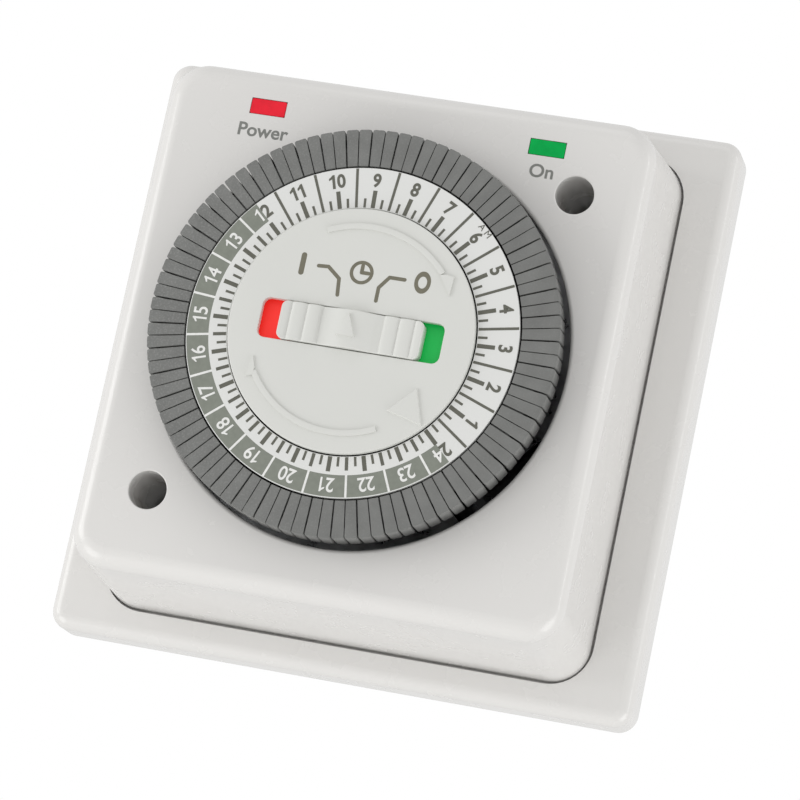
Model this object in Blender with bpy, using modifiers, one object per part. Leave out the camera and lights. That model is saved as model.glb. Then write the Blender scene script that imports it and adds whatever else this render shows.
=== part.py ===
"""Programmable 24-hour segment timer on a square wall plate, modelled as separate pieces.

Bench frame used by every function below: X right, Y up the wall, Z out of the wall, metres.
The "timer" empty turns that frame so that the finished timer hangs upright, +Z up, facing -Y,
with its origin in the middle of the wall face.
"""

from math import cos, pi, radians, sin, tan

import bmesh
import bpy
from mathutils import Matrix, Vector

# Driving dimensions, metres. A height is a distance out from the wall.
GAP = 0.0003                    # clearance between neighbouring pieces
PLATE_SIZE = 0.105              # square wall plate
PLATE_DEPTH = 0.008
PLATE_CORNER = 0.0034
PLATE_EDGE = 0.0025
PLATE_WALL = 0.0025
PLATE_OPENING = (0.050, 0.060)
BOX_SCREW_SPACING = 0.0603      # fixing centres of a single wall box

CASING_BASE = (0.0870, 0.0938)
CASING_FRONT = (0.0858, 0.0894)
CASING_FACE = 0.03686           # height of the casing's front face
CASING_CORNER = 0.0064
CASING_EDGE = 0.0032
CASING_WALL = 0.0022
DIAL_OPENING_RADIUS = 0.0356
COLLAR_DEPTH = 0.0055
COLLAR_WALL = 0.0012
COVER_SCREW_PLACE = (0.0309, 0.03085)
SCREW_WELL_RADIUS = 0.0033
SCREW_WELL_FLOOR = 0.0150
SCREW_BOSS_RADIUS = 0.0050
SCREW_HOLE_RADIUS = 0.0019

REAR_COVER_DEPTH = 0.0020
MOVEMENT_PLATE_LOW = 0.0240
MOVEMENT_PLATE_TOP = 0.0260

DIAL_RADIUS = 0.0352            # outside of the segments
SEGMENTS = 96                   # a quarter of an hour each
FREE_SEGMENTS = 8               # segments modelled as loose pieces, two hours
FIRST_FREE_HOUR = 6.0
SEGMENT_TRAVEL = 0.0030
SEGMENT_TOP = 0.0442
SEGMENT_INNER = 0.02875
SEGMENT_PLATE = 0.0016
SEGMENT_SKIRT = 0.0018
SEGMENT_FOOT = 0.0370
SEGMENT_SLIT = radians(0.42)
SCALE_INNER = 0.02135
SCALE_OUTER = 0.02845
SCALE_TOP = 0.0443
SCALE_THICKNESS = 0.0010
POINTER_ANGLE = radians(-42.5)  # where the dial is read, and where the switch lever's nose is
MIDNIGHT_ANGLE = POINTER_ANGLE

POST_RADIUS = 0.0072
POST_NECK = 0.0066
POST_TOP = 0.0427
POST_FOOT = 0.0225
STEM_SLOT = (0.0104, 0.0026)
HUB_BORE = 0.0073
HUB_RADIUS = 0.0092
HUB_LOW = 0.0277
HUB_TOP = 0.0420

DISC_RADIUS = 0.02109
DISC_TOP = 0.0452
DISC_THICKNESS = 0.0012
WINDOW = (0.0316, 0.0069)
WINDOW_CORNER = 0.0013
SLIDER_TRAVEL = 0.0033          # either way from the middle
THUMB = (0.0247, 0.0066)
THUMB_END_TOP = 0.0457
THUMB_ARCH_TOP = 0.0469

TOOTH_MODULE = 0.0005
TOOTH_BACKLASH = 0.00016
DIAL_GEAR_TEETH = 72
IDLER_PINION_TEETH = 12
IDLER_WHEEL_TEETH = 40
MOTOR_PINION_TEETH = 10
DIAL_GEAR_LOW = 0.0280
IDLER_WHEEL_LOW = 0.0205
GEAR_THICKNESS = 0.0020
IDLER_ANGLE = radians(160)
MOTOR_RADIUS = 0.0180
MOTOR_LOW = 0.0108
MOTOR_TOP = 0.0186

LENS = (0.0062, 0.0027)
LENS_PLACE = (0.0247, 0.0382)

LEVER_RADIUS = 0.0343           # from the dial's axis to the middle of the lever
LEVER_PIVOT = 0.0170            # from the nose to the lever's pin
LEVER_LOW = 0.0275
LEVER_TOP = 0.0295
NOSE_TOP = 0.0348
PLUNGER_PLACE = 0.0040          # from the nose to the switch's plunger

TERMINAL_PITCH = 0.010
TERMINALS = 4

# What follows from them.
SEGMENT_PITCH = 2 * pi / SEGMENTS
IDLER_DISTANCE = TOOTH_MODULE * (DIAL_GEAR_TEETH + IDLER_PINION_TEETH) / 2
IDLER_PLACE = Vector((IDLER_DISTANCE * cos(IDLER_ANGLE), IDLER_DISTANCE * sin(IDLER_ANGLE), 0))
MOTOR_DISTANCE = TOOTH_MODULE * (IDLER_WHEEL_TEETH + MOTOR_PINION_TEETH) / 2
MOTOR_PLACE = IDLER_PLACE + Vector((0, MOTOR_DISTANCE, 0))
REAR_COVER_LOW = PLATE_DEPTH + GAP
REAR_COVER_TOP = REAR_COVER_LOW + REAR_COVER_DEPTH
DIAGONAL = ((1, 1), (-1, -1))   # the two corners that hold the cover screws


def clear_scene():
    for obj in list(bpy.data.objects):
        bpy.data.objects.remove(obj, do_unlink=True)


def new_collection(name):
    collection = bpy.data.collections.new(name)
    bpy.context.scene.collection.children.link(collection)
    return collection


clear_scene()
PARTS = new_collection("programmable_timer")
CUTTERS = new_collection("cutters")


# ---------------------------------------------------------------- materials

def make_material(name, colour, roughness, metallic=0.0):
    material = bpy.data.materials.new(name)
    material.use_nodes = True
    shader = material.node_tree.nodes["Principled BSDF"]
    shader.inputs["Base Color"].default_value = (*colour, 1.0)
    shader.inputs["Roughness"].default_value = roughness
    shader.inputs["Metallic"].default_value = metallic
    return material


WHITE_PLASTIC = make_material("white_plastic", (0.72, 0.72, 0.70), 0.30)
GREY_PLASTIC = make_material("grey_plastic", (0.23, 0.24, 0.24), 0.55)
BLACK_PLASTIC = make_material("black_plastic", (0.02, 0.02, 0.02), 0.45)
RED_PLASTIC = make_material("red_plastic", (0.80, 0.02, 0.03), 0.35)
GREEN_PLASTIC = make_material("green_plastic", (0.00, 0.39, 0.08), 0.35)
RED_LENS = make_material("red_lens", (0.85, 0.01, 0.03), 0.20)
GREEN_LENS = make_material("green_lens", (0.00, 0.42, 0.09), 0.20)
CREAM_PLASTIC = make_material("cream_plastic", (0.75, 0.70, 0.55), 0.45)
BOARD_BROWN = make_material("board_brown", (0.35, 0.22, 0.10), 0.60)
RESISTOR_BLUE = make_material("resistor_blue", (0.25, 0.50, 0.62), 0.40)
LAMP_GLASS = make_material("lamp_glass", (0.80, 0.70, 0.60), 0.05)
STEEL = make_material("steel", (0.60, 0.61, 0.62), 0.30, 1.0)
BRASS = make_material("brass", (0.72, 0.53, 0.22), 0.30, 1.0)


# ---------------------------------------------------------------- shapes

def box(x, y, z, corner=0.0, edge=0.0, top_scale=(1.0, 1.0), segments=(4, 2)):
    """A block over three (low, high) ranges, with rounded upright corners and a rounded top edge."""
    bm = bmesh.new()
    bmesh.ops.create_cube(bm, size=1.0)
    centre = Vector([(low + high) / 2 for low, high in (x, y, z)])
    size = [high - low for low, high in (x, y, z)]
    for vert in bm.verts:
        at_top = vert.co.z > 0
        wide = top_scale if at_top else (1.0, 1.0)
        vert.co = Vector((vert.co.x * size[0] * wide[0], vert.co.y * size[1] * wide[1], vert.co.z * size[2]))
    bmesh.ops.translate(bm, verts=bm.verts, vec=centre)
    if corner:
        upright = [e for e in bm.edges if abs(e.verts[0].co.z - e.verts[1].co.z) > size[2] / 2]
        bmesh.ops.bevel(bm, geom=upright, offset=corner, segments=segments[0], profile=0.5, affect="EDGES")
    if edge:
        rim = [e for e in bm.edges if min(v.co.z for v in e.verts) > z[1] - 1e-6]
        bmesh.ops.bevel(bm, geom=rim, offset=edge, segments=segments[1], profile=0.5, affect="EDGES")
    return bm


def centred_box(size, z, **rounding):
    return box((-size[0] / 2, size[0] / 2), (-size[1] / 2, size[1] / 2), z, **rounding)


def cylinder(radius, z, place=(0, 0), sides=32, top_radius=None):
    bm = bmesh.new()
    bmesh.ops.create_cone(
        bm, cap_ends=True, segments=sides, radius1=radius,
        radius2=radius if top_radius is None else top_radius, depth=z[1] - z[0],
        matrix=Matrix.Translation((place[0], place[1], (z[0] + z[1]) / 2)),
    )
    return bm


def lying_cylinder(radius, along, span, place, sides=16):
    """A cylinder along X or Y over a (low, high) span; place gives its other two coordinates."""
    bm = bmesh.new()
    middle = (span[0] + span[1]) / 2
    if along == "X":
        matrix = Matrix.Translation((middle, *place)) @ Matrix.Rotation(pi / 2, 4, "Y")
    else:
        matrix = Matrix.Translation((place[0], middle, place[1])) @ Matrix.Rotation(pi / 2, 4, "X")
    bmesh.ops.create_cone(
        bm, cap_ends=True, segments=sides, radius1=radius, radius2=radius,
        depth=span[1] - span[0], matrix=matrix,
    )
    return bm


def circle_points(radius, place=(0, 0), sides=24):
    turns = (2 * pi * i / sides for i in range(sides))
    return [(place[0] + radius * cos(a), place[1] + radius * sin(a)) for a in turns]


def rounded_rectangle(size, place=(0, 0), corner=0.002, steps=3):
    points = []
    for quarter, (sx, sy) in enumerate(((1, 1), (-1, 1), (-1, -1), (1, -1))):
        cx = place[0] + sx * (size[0] / 2 - corner)
        cy = place[1] + sy * (size[1] / 2 - corner)
        for step in range(steps + 1):
            a = (quarter + step / steps) * pi / 2
            points.append((cx + corner * cos(a), cy + corner * sin(a)))
    return points


def gear_points(teeth, first_tooth):
    """The outline of a spur gear whose tooth number 0 is centred on the angle first_tooth."""
    pitch_radius = TOOTH_MODULE * teeth / 2
    half_pitch_tooth = (pi * TOOTH_MODULE / 2 - TOOTH_BACKLASH) / 2
    slope = tan(radians(20))
    points = []
    for tooth in range(teeth):
        middle = first_tooth + 2 * pi * tooth / teeth
        for side, height in ((-1, -1.25), (-1, 1.0), (1, 1.0), (1, -1.25)):
            radius = pitch_radius + height * TOOTH_MODULE
            half_width = half_pitch_tooth - height * TOOTH_MODULE * slope
            angle = middle + side * half_width / radius
            points.append((radius * cos(angle), radius * sin(angle)))
    return points


# ---------------------------------------------------------------- objects

def place_object(obj, material, parent, turn=0.0, collection=PARTS):
    collection.objects.link(obj)
    obj.parent = parent
    obj.rotation_euler.z = turn
    if material:
        obj.data.materials.append(material)
    return obj


def add(name, bm, material, parent, turn=0.0, smooth=True):
    mesh = bpy.data.meshes.new(name)
    bmesh.ops.recalc_face_normals(bm, faces=bm.faces)
    bm.to_mesh(mesh)
    bm.free()
    if smooth:
        mesh.shade_smooth()
        mesh.set_sharp_from_angle(angle=radians(35))
    return place_object(bpy.data.objects.new(name, mesh), material, parent, turn)


def add_turned(name, profile, material, parent, sides=48):
    """A closed profile of (radius, height) points, down the outside and up the inside, turned about Z."""
    mesh = bpy.data.meshes.new(name)
    verts = [(radius, 0, height) for radius, height in profile]
    mesh.from_pydata(verts, [(i, (i + 1) % len(verts)) for i in range(len(verts))], [])
    obj = place_object(bpy.data.objects.new(name, mesh), material, parent)
    screw = obj.modifiers.new("turn", "SCREW")
    screw.axis = "Z"
    screw.steps = sides
    screw.render_steps = sides
    screw.use_merge_vertices = True
    screw.merge_threshold = 0.00001
    screw.use_smooth_shade = False
    return obj


def add_flat(name, outlines, z, material, parent, turn=0.0):
    """A sheet between two heights: the first outline is its edge and the others are its holes."""
    curve = bpy.data.curves.new(name, "CURVE")
    curve.dimensions = "2D"
    curve.fill_mode = "BOTH"
    curve.extrude = (z[1] - z[0]) / 2
    for points in outlines:
        spline = curve.splines.new("POLY")
        spline.points.add(len(points) - 1)
        for point, (x, y) in zip(spline.points, points):
            point.co = (x, y, 0, 1)
        spline.use_cyclic_u = True
    obj = place_object(bpy.data.objects.new(name, curve), material, parent, turn)
    obj.location.z = (z[0] + z[1]) / 2
    return obj


def boolean(target, bm, operation="DIFFERENCE"):
    """Cuts bm from target, or joins it to target."""
    name = f"{target.name}_{operation.lower()}_{len(target.modifiers)}"
    mesh = bpy.data.meshes.new(name)
    bmesh.ops.recalc_face_normals(bm, faces=bm.faces)
    bm.to_mesh(mesh)
    bm.free()
    helper = place_object(bpy.data.objects.new(name, mesh), None, target.parent, collection=CUTTERS)
    helper.rotation_euler = target.rotation_euler
    helper.hide_render = True
    helper.display_type = "WIRE"
    modifier = target.modifiers.new(name, "BOOLEAN")
    modifier.operation = operation
    modifier.solver = "EXACT"
    modifier.object = helper


def merged(*shapes):
    """Several separate shapes in one mesh, for a cutter that cuts them all."""
    whole = bmesh.new()
    for bm in shapes:
        mesh = bpy.data.meshes.new("shape")
        bmesh.ops.recalc_face_normals(bm, faces=bm.faces)
        bm.to_mesh(mesh)
        bm.free()
        whole.from_mesh(mesh)
        bpy.data.meshes.remove(mesh)
    return whole


def add_empty(name, parent, place=(0, 0, 0), turn=0.0):
    empty = bpy.data.objects.new(name, None)
    empty.empty_display_size = 0.01
    PARTS.objects.link(empty)
    empty.parent = parent
    empty.location = place
    empty.rotation_euler.z = turn
    return empty


# ---------------------------------------------------------------- wall plate and casing

def cover_screw_places():
    return [(sx * COVER_SCREW_PLACE[0], sy * COVER_SCREW_PLACE[1]) for sx, sy in DIAGONAL]


def make_wall_plate(timer):
    size = (PLATE_SIZE, PLATE_SIZE)
    plate = add(
        "wall_plate",
        centred_box(size, (0, PLATE_DEPTH), corner=PLATE_CORNER, edge=PLATE_EDGE, segments=(5, 3)),
        WHITE_PLASTIC, timer,
    )
    inside = PLATE_SIZE - 2 * PLATE_WALL
    floor = PLATE_DEPTH - PLATE_WALL
    boolean(plate, centred_box((inside, inside), (-0.001, floor), corner=PLATE_CORNER - PLATE_WALL))
    bosses = [cylinder(0.0045, (0.0005, floor + 0.001), place, 20) for place in cover_screw_places()]
    boolean(plate, merged(*bosses), "UNION")
    holes = [cylinder(SCREW_HOLE_RADIUS, (-0.002, 0.010), place, 20) for place in cover_screw_places()]
    slots = []
    for side in (-1, 1):
        x = side * BOX_SCREW_SPACING / 2
        slots.append(box((x - 0.002, x + 0.002), (-0.004, 0.004), (0.004, 0.010), corner=0.0019))
    opening = centred_box(PLATE_OPENING, (0.003, 0.010), corner=0.003)
    boolean(plate, merged(opening, *holes, *slots))


def make_front_casing(timer):
    low = PLATE_DEPTH + GAP
    shrink = [front / base for front, base in zip(CASING_FRONT, CASING_BASE)]
    casing = add(
        "front_casing",
        centred_box(CASING_BASE, (low, CASING_FACE), corner=CASING_CORNER, edge=CASING_EDGE,
                    top_scale=shrink, segments=(5, 4)),
        WHITE_PLASTIC, timer,
    )
    inner = [side - 2 * CASING_WALL for side in CASING_BASE]
    ceiling = CASING_FACE - CASING_WALL
    boolean(casing, centred_box(inner, (low - 0.001, ceiling), corner=CASING_CORNER - CASING_WALL,
                                top_scale=shrink))
    collar_low = CASING_FACE - COLLAR_DEPTH
    collar = cylinder(DIAL_OPENING_RADIUS + COLLAR_WALL, (collar_low, ceiling + 0.001), sides=72)
    boss_low = REAR_COVER_TOP + GAP
    bosses = [cylinder(SCREW_BOSS_RADIUS, (boss_low, ceiling + 0.001), place, 24)
              for place in cover_screw_places()]
    boolean(casing, merged(collar, *bosses), "UNION")
    cuts = [cylinder(DIAL_OPENING_RADIUS, (collar_low - 0.002, CASING_FACE + 0.002), sides=72)]
    for x, y in cover_screw_places():
        cuts.append(cylinder(SCREW_WELL_RADIUS, (SCREW_WELL_FLOOR, CASING_FACE + 0.002), (x, y), 24))
    for side in (-1, 1):
        x, y = side * LENS_PLACE[0], LENS_PLACE[1]
        cuts.append(box((x - LENS[0] / 2 - GAP / 2, x + LENS[0] / 2 + GAP / 2),
                        (y - LENS[1] / 2 - GAP / 2, y + LENS[1] / 2 + GAP / 2),
                        (ceiling - 0.002, CASING_FACE + 0.002)))
    boolean(casing, merged(*cuts))
    through = [cylinder(SCREW_HOLE_RADIUS, (boss_low - 0.002, SCREW_WELL_FLOOR + 0.002), place, 20)
               for place in cover_screw_places()]
    boolean(casing, merged(*through))


def make_cover_screws(timer):
    for (x, y), where in zip(cover_screw_places(), ("upper", "lower")):
        screw = add(f"cover_screw_{where}", cylinder(0.0016, (0.0010, 0.0160), (x, y), 16), STEEL, timer)
        head_low = SCREW_WELL_FLOOR + GAP
        boolean(screw, cylinder(0.0029, (head_low, head_low + 0.0020), (x, y), 24), "UNION")
        boolean(screw, box((x - 0.0035, x + 0.0035), (y - 0.0004, y + 0.0004),
                           (head_low + 0.0011, head_low + 0.003)))


def make_lenses(timer):
    for side, name, material in ((-1, "power_lens", RED_LENS), (1, "on_lens", GREEN_LENS)):
        x, y = side * LENS_PLACE[0], LENS_PLACE[1]
        ceiling = CASING_FACE - CASING_WALL
        lens = add(
            name,
            box((x - LENS[0] / 2, x + LENS[0] / 2), (y - LENS[1] / 2, y + LENS[1] / 2),
                (ceiling - 0.0010, CASING_FACE - 0.0001)),
            material, timer,
        )
        boolean(lens, box((x - 0.0040, x + 0.0040), (y - 0.0020, y + 0.0020),
                          (ceiling - 0.0012, ceiling - GAP)), "UNION")


# ---------------------------------------------------------------- inside the casing

def make_rear_cover(timer):
    outline = rounded_rectangle((0.0818, 0.0884), corner=0.0040)
    holes = [circle_points(0.0022, place, 20) for place in cover_screw_places()]
    holes.append(rounded_rectangle((0.0300, 0.0080), (0.0, 0.0150), 0.0015))
    add_flat("rear_cover", [outline, *holes], (REAR_COVER_LOW, REAR_COVER_TOP), BLACK_PLASTIC, timer)


PILLARS = ((-0.0350, -0.0120), (-0.0120, -0.0380), (0.0360, 0.0160), (0.0120, 0.0300))


def make_movement_plate(timer):
    holes = [circle_points(SCREW_BOSS_RADIUS + GAP, place, 24) for place in cover_screw_places()]
    holes.append(circle_points(POST_NECK + GAP, sides=40))
    holes.append(circle_points(0.0042, IDLER_PLACE[:2], 20))
    plate = add_flat("movement_plate", [rounded_rectangle((0.0760, 0.0820), (0, 0.0010), 0.004), *holes],
                     (MOVEMENT_PLATE_LOW, MOVEMENT_PLATE_TOP), STEEL, timer)
    for number, place in enumerate(PILLARS, 1):
        add(f"plate_pillar_{number}", cylinder(0.0025, (REAR_COVER_TOP + GAP, MOVEMENT_PLATE_LOW - GAP),
                                               place, 16), BRASS, timer)
    return plate


def cut_switch_window(plate, timer):
    """Makes the plate a mesh, and cuts out the window that the switch body stands in."""
    bpy.context.view_layer.update()
    graph = bpy.context.evaluated_depsgraph_get()
    mesh = bpy.data.meshes.new_from_object(plate.evaluated_get(graph))
    bm = bmesh.new()
    bm.from_mesh(mesh)
    bmesh.ops.remove_doubles(bm, verts=bm.verts, dist=0.000001)
    bmesh.ops.translate(bm, verts=bm.verts, vec=(0, 0, plate.location.z))
    name = plate.name
    bpy.data.objects.remove(plate)
    sheet = add(name, bm, STEEL, timer, smooth=False)
    sheet.data.materials.clear()
    sheet.data.materials.append(STEEL)
    window = box((0.0296, 0.0376), (-0.0050, 0.0170), (0.020, 0.030))
    bmesh.ops.rotate(window, verts=window.verts, matrix=Matrix.Rotation(POINTER_ANGLE, 3, "Z"))
    boolean(sheet, window)


def make_lamps(timer):
    board_low = MOVEMENT_PLATE_TOP + GAP
    board_top = board_low + 0.0010
    add("lamp_board", box((-0.0320, 0.0320), (0.0364, 0.0415), (board_low, board_top)), BOARD_BROWN, timer)
    for side, name in ((-1, "power"), (1, "on")):
        x = side * LENS_PLACE[0]
        add(f"{name}_lamp", lying_cylinder(0.0020, "X", (x - 0.004, x + 0.004), (0.0385, board_top + 0.0024)),
            LAMP_GLASS, timer)
        x = side * 0.0100
        add(f"{name}_resistor",
            lying_cylinder(0.0011, "X", (x - 0.003, x + 0.003), (0.0390, board_top + 0.0014), 12),
            RESISTOR_BLUE, timer)


def make_motor(timer):
    x, y = MOTOR_PLACE.x, MOTOR_PLACE.y
    can = cylinder(MOTOR_RADIUS, (MOTOR_LOW, MOTOR_TOP), (x, y), 40)
    rim = [e for e in can.edges if abs(e.verts[0].co.z - e.verts[1].co.z) < 1e-6 and e.verts[0].co.z < 0.012]
    bmesh.ops.bevel(can, geom=rim, offset=0.0012, segments=2, profile=0.5, affect="EDGES")
    add("motor_can", can, STEEL, timer)
    flange_low = MOTOR_TOP + GAP
    holes = [circle_points(0.0013, (x, y), 16)]
    add_flat("motor_flange", [circle_points(MOTOR_RADIUS + 0.001, (x, y), 40), *holes],
             (flange_low, flange_low + 0.0010), STEEL, timer)
    add("idler_axle", cylinder(0.0009, (flange_low + 0.0010 + GAP, 0.0310), IDLER_PLACE[:2], 16), STEEL, timer)


def make_motor_output(timer):
    axis = add_empty("motor_axis", timer, MOTOR_PLACE)
    add("motor_shaft", cylinder(0.0008, (MOTOR_TOP + GAP, 0.0234), sides=16), STEEL, axis)
    toward_idler = radians(270)
    half_pitch = pi / MOTOR_PINION_TEETH
    outline = gear_points(MOTOR_PINION_TEETH, toward_idler + half_pitch)
    add_flat("motor_pinion", [outline, circle_points(0.0011, sides=16)],
             (IDLER_WHEEL_LOW, IDLER_WHEEL_LOW + GEAR_THICKNESS), BRASS, axis)


def make_idler(timer):
    axis = add_empty("idler_axis", timer, IDLER_PLACE)
    wheel_top = IDLER_WHEEL_LOW + GEAR_THICKNESS
    add_flat("idler_wheel", [gear_points(IDLER_WHEEL_TEETH, radians(90)), circle_points(0.0011, sides=16)],
             (IDLER_WHEEL_LOW, wheel_top), CREAM_PLASTIC, axis)
    half_pitch = pi / IDLER_PINION_TEETH
    outline = gear_points(IDLER_PINION_TEETH, IDLER_ANGLE + pi + half_pitch)
    add_flat("idler_pinion", [outline, circle_points(0.0011, sides=16)],
             (wheel_top + GAP, DIAL_GEAR_LOW + GEAR_THICKNESS + 0.0002), CREAM_PLASTIC, axis)


def make_centre_post(timer):
    flange_low = MOVEMENT_PLATE_TOP + GAP
    flange_top = HUB_LOW - GAP
    post = add("centre_post", cylinder(POST_RADIUS, (flange_low, HUB_TOP + 0.0001), sides=48), CREAM_PLASTIC,
               timer)
    boolean(post, cylinder(POST_NECK, (POST_FOOT, POST_TOP), sides=48), "UNION")
    boolean(post, cylinder(0.0120, (flange_low, flange_top), sides=48), "UNION")
    boolean(post, centred_box(STEM_SLOT, (POST_FOOT - 0.001, POST_TOP + 0.001)))
    clip_low = HUB_TOP + GAP
    clip = [(0.0090, clip_low + 0.0003), (0.0090, clip_low),
            (POST_NECK + 0.0002, clip_low), (POST_NECK + 0.0002, clip_low + 0.0003)]
    add_turned("dial_clip", clip, STEEL, timer)


# ---------------------------------------------------------------- dial

def make_dial_drum(axis):
    scale_seat = SCALE_TOP - SCALE_THICKNESS - GAP
    rim_top = SEGMENT_TOP - SEGMENT_PLATE - SEGMENT_TRAVEL - GAP
    rim_radius = DIAL_RADIUS - SEGMENT_SKIRT - 0.0004
    web_low, web_top, rim_low = 0.0370, 0.0384, 0.0355
    profile = [
        (SCALE_OUTER - 0.0001, scale_seat), (SCALE_OUTER - 0.0001, rim_top), (rim_radius, rim_top),
        (rim_radius, rim_low), (0.0270, rim_low), (0.0260, web_low), (HUB_RADIUS, web_low),
        (HUB_RADIUS, HUB_LOW), (HUB_BORE, HUB_LOW), (HUB_BORE, HUB_TOP), (HUB_RADIUS, HUB_TOP),
        (HUB_RADIUS, web_top), (0.0262, web_top), (0.0262, scale_seat),
    ]
    add_turned("dial_drum", profile, BLACK_PLASTIC, axis, 60)


def make_scale_ring(axis):
    low = SCALE_TOP - SCALE_THICKNESS
    profile = [(SCALE_OUTER, SCALE_TOP), (SCALE_OUTER, low), (SCALE_INNER, low), (SCALE_INNER, SCALE_TOP)]
    add_turned("scale_ring", profile, WHITE_PLASTIC, axis, 96)


def make_dial_gear(axis):
    outline = gear_points(DIAL_GEAR_TEETH, IDLER_ANGLE)
    add_flat("dial_gear", [outline, circle_points(HUB_RADIUS + GAP, sides=48)],
             (DIAL_GEAR_LOW, DIAL_GEAR_LOW + GEAR_THICKNESS), CREAM_PLASTIC, axis)


def segment(angle):
    """One segment: a top plate with a skirt at its outer end, as a wedge of the dial."""
    under = SEGMENT_TOP - SEGMENT_PLATE
    side = [
        (SEGMENT_INNER, SEGMENT_TOP), (DIAL_RADIUS - 0.0018, SEGMENT_TOP),
        (DIAL_RADIUS - 0.0005, SEGMENT_TOP - 0.0006), (DIAL_RADIUS, SEGMENT_TOP - 0.0020),
        (DIAL_RADIUS, SEGMENT_FOOT), (DIAL_RADIUS - SEGMENT_SKIRT, SEGMENT_FOOT),
        (DIAL_RADIUS - SEGMENT_SKIRT, under), (SEGMENT_INNER, under),
    ]
    bm = bmesh.new()
    face = bm.faces.new([bm.verts.new((radius, -1, height)) for radius, height in side])
    far = bmesh.ops.extrude_face_region(bm, geom=[face])
    bmesh.ops.translate(bm, verts=[v for v in far["geom"] if isinstance(v, bmesh.types.BMVert)], vec=(0, 2, 0))
    half_angle = (SEGMENT_PITCH - SEGMENT_SLIT) / 2
    for vert in bm.verts:
        vert.co.y *= vert.co.x * tan(half_angle)
    bmesh.ops.rotate(bm, verts=bm.verts, matrix=Matrix.Rotation(angle, 3, "Z"))
    return bm


def free_segment_span():
    """The number of the first loose segment, and the number after the last; number 0 follows midnight."""
    first = round(FIRST_FREE_HOUR * SEGMENTS / 24)
    return first, first + FREE_SEGMENTS


def segment_angle(number):
    return MIDNIGHT_ANGLE + (number + 0.5) * SEGMENT_PITCH


def make_segments(axis):
    first, after = free_segment_span()
    fixed = [segment(segment_angle(n)) for n in range(after, SEGMENTS + first)]
    start = segment_angle(after) - SEGMENT_PITCH * 0.35
    end = segment_angle(SEGMENTS + first - 1) + SEGMENT_PITCH * 0.35
    ring = add("segment_ring", tie_ring(start, end), GREY_PLASTIC, axis, smooth=False)
    boolean(ring, merged(*fixed), "UNION")
    for number in range(first, after):
        label = number - first + 1
        add(f"segment_{label}", segment(0.0), GREY_PLASTIC, axis, segment_angle(number), smooth=False)


def tie_ring(start, end):
    """The hidden band that joins the fixed segments, an arc from start to end."""
    low = SEGMENT_TOP - SEGMENT_PLATE - 0.0008
    high = SEGMENT_TOP - 0.0009
    steps = 44
    bm = bmesh.new()
    corners = [(0.0290, low), (0.0328, low), (0.0328, high), (0.0290, high)]
    face = bm.faces.new([bm.verts.new((r * cos(start), r * sin(start), z)) for r, z in corners])
    bmesh.ops.spin(bm, geom=[face], axis=(0, 0, 1), cent=(0, 0, 0), angle=end - start, steps=steps,
                   use_duplicate=False)
    return bm


# ---------------------------------------------------------------- centre disc and override slider

def make_centre_disc(timer):
    low = DISC_TOP - DISC_THICKNESS
    disc = add("centre_disc", cylinder(DISC_RADIUS, (low, DISC_TOP), sides=96), WHITE_PLASTIC, timer)
    rails = [box((-0.0170, 0.0170), (min(y), max(y)), (POST_TOP + GAP, low + 0.0002))
             for y in ((0.0049, 0.0061), (-0.0061, -0.0049))]
    boolean(disc, merged(*rails), "UNION")
    boolean(disc, centred_box(WINDOW, (low - 0.002, DISC_TOP + 0.002), corner=WINDOW_CORNER,
                              segments=(3, 1)))


def make_markers(timer):
    for side, name, material in ((-1, "red_marker", RED_PLASTIC), (1, "green_marker", GREEN_PLASTIC)):
        ends = sorted((side * 0.0096, side * 0.0170))
        add(name, box(ends, (-0.0046, 0.0046), (0.0424, 0.0430)), material, timer)


def thumb_outline():
    """Half of the thumb's long section, from its middle to its right-hand end, as (x, height)."""
    arch_half = 0.0056
    points = []
    for step in range(5):
        x = arch_half * step / 4
        blend = (1 + cos(pi * step / 4)) / 2
        points.append((x, THUMB_END_TOP + (THUMB_ARCH_TOP - THUMB_END_TOP) * blend))
    for groove in range(3):
        x = 0.0066 + groove * 0.0017
        points += [(x - 0.0003, THUMB_END_TOP), (x, THUMB_END_TOP - 0.0003), (x + 0.0003, THUMB_END_TOP)]
    points += [(THUMB[0] / 2 - 0.0006, THUMB_END_TOP), (THUMB[0] / 2, THUMB_END_TOP - 0.0006)]
    return points


def rounded_trim(size, corner):
    """A tall block with rounded upright corners, which trims the thumb's ends to the window's shape."""
    return centred_box(size, (0.0400, 0.0500), corner=corner, segments=(3, 1))


def make_override_slider(timer):
    axis = add_empty("override_axis", timer)
    flange = (0.0433, 0.0437)
    right = thumb_outline() + [(THUMB[0] / 2, flange[0])]
    left = [(-x, z) for x, z in reversed(right) if x > 0]
    bm = bmesh.new()
    face = bm.faces.new([bm.verts.new((x, -THUMB[1] / 2, z)) for x, z in right + left])
    far = bmesh.ops.extrude_face_region(bm, geom=[face])
    bmesh.ops.translate(bm, verts=[v for v in far["geom"] if isinstance(v, bmesh.types.BMVert)],
                        vec=(0, THUMB[1], 0))
    corners = rounded_trim(THUMB, WINDOW_CORNER)
    thumb = add("override_thumb", bm, WHITE_PLASTIC, axis, smooth=False)
    boolean(thumb, corners, "INTERSECT")
    boolean(thumb, centred_box((0.0200, 0.0092), flange), "UNION")
    add("override_stem", centred_box((0.0030, 0.0018), (0.0180, 0.0430)), CREAM_PLASTIC, axis)


# ---------------------------------------------------------------- switch

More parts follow.
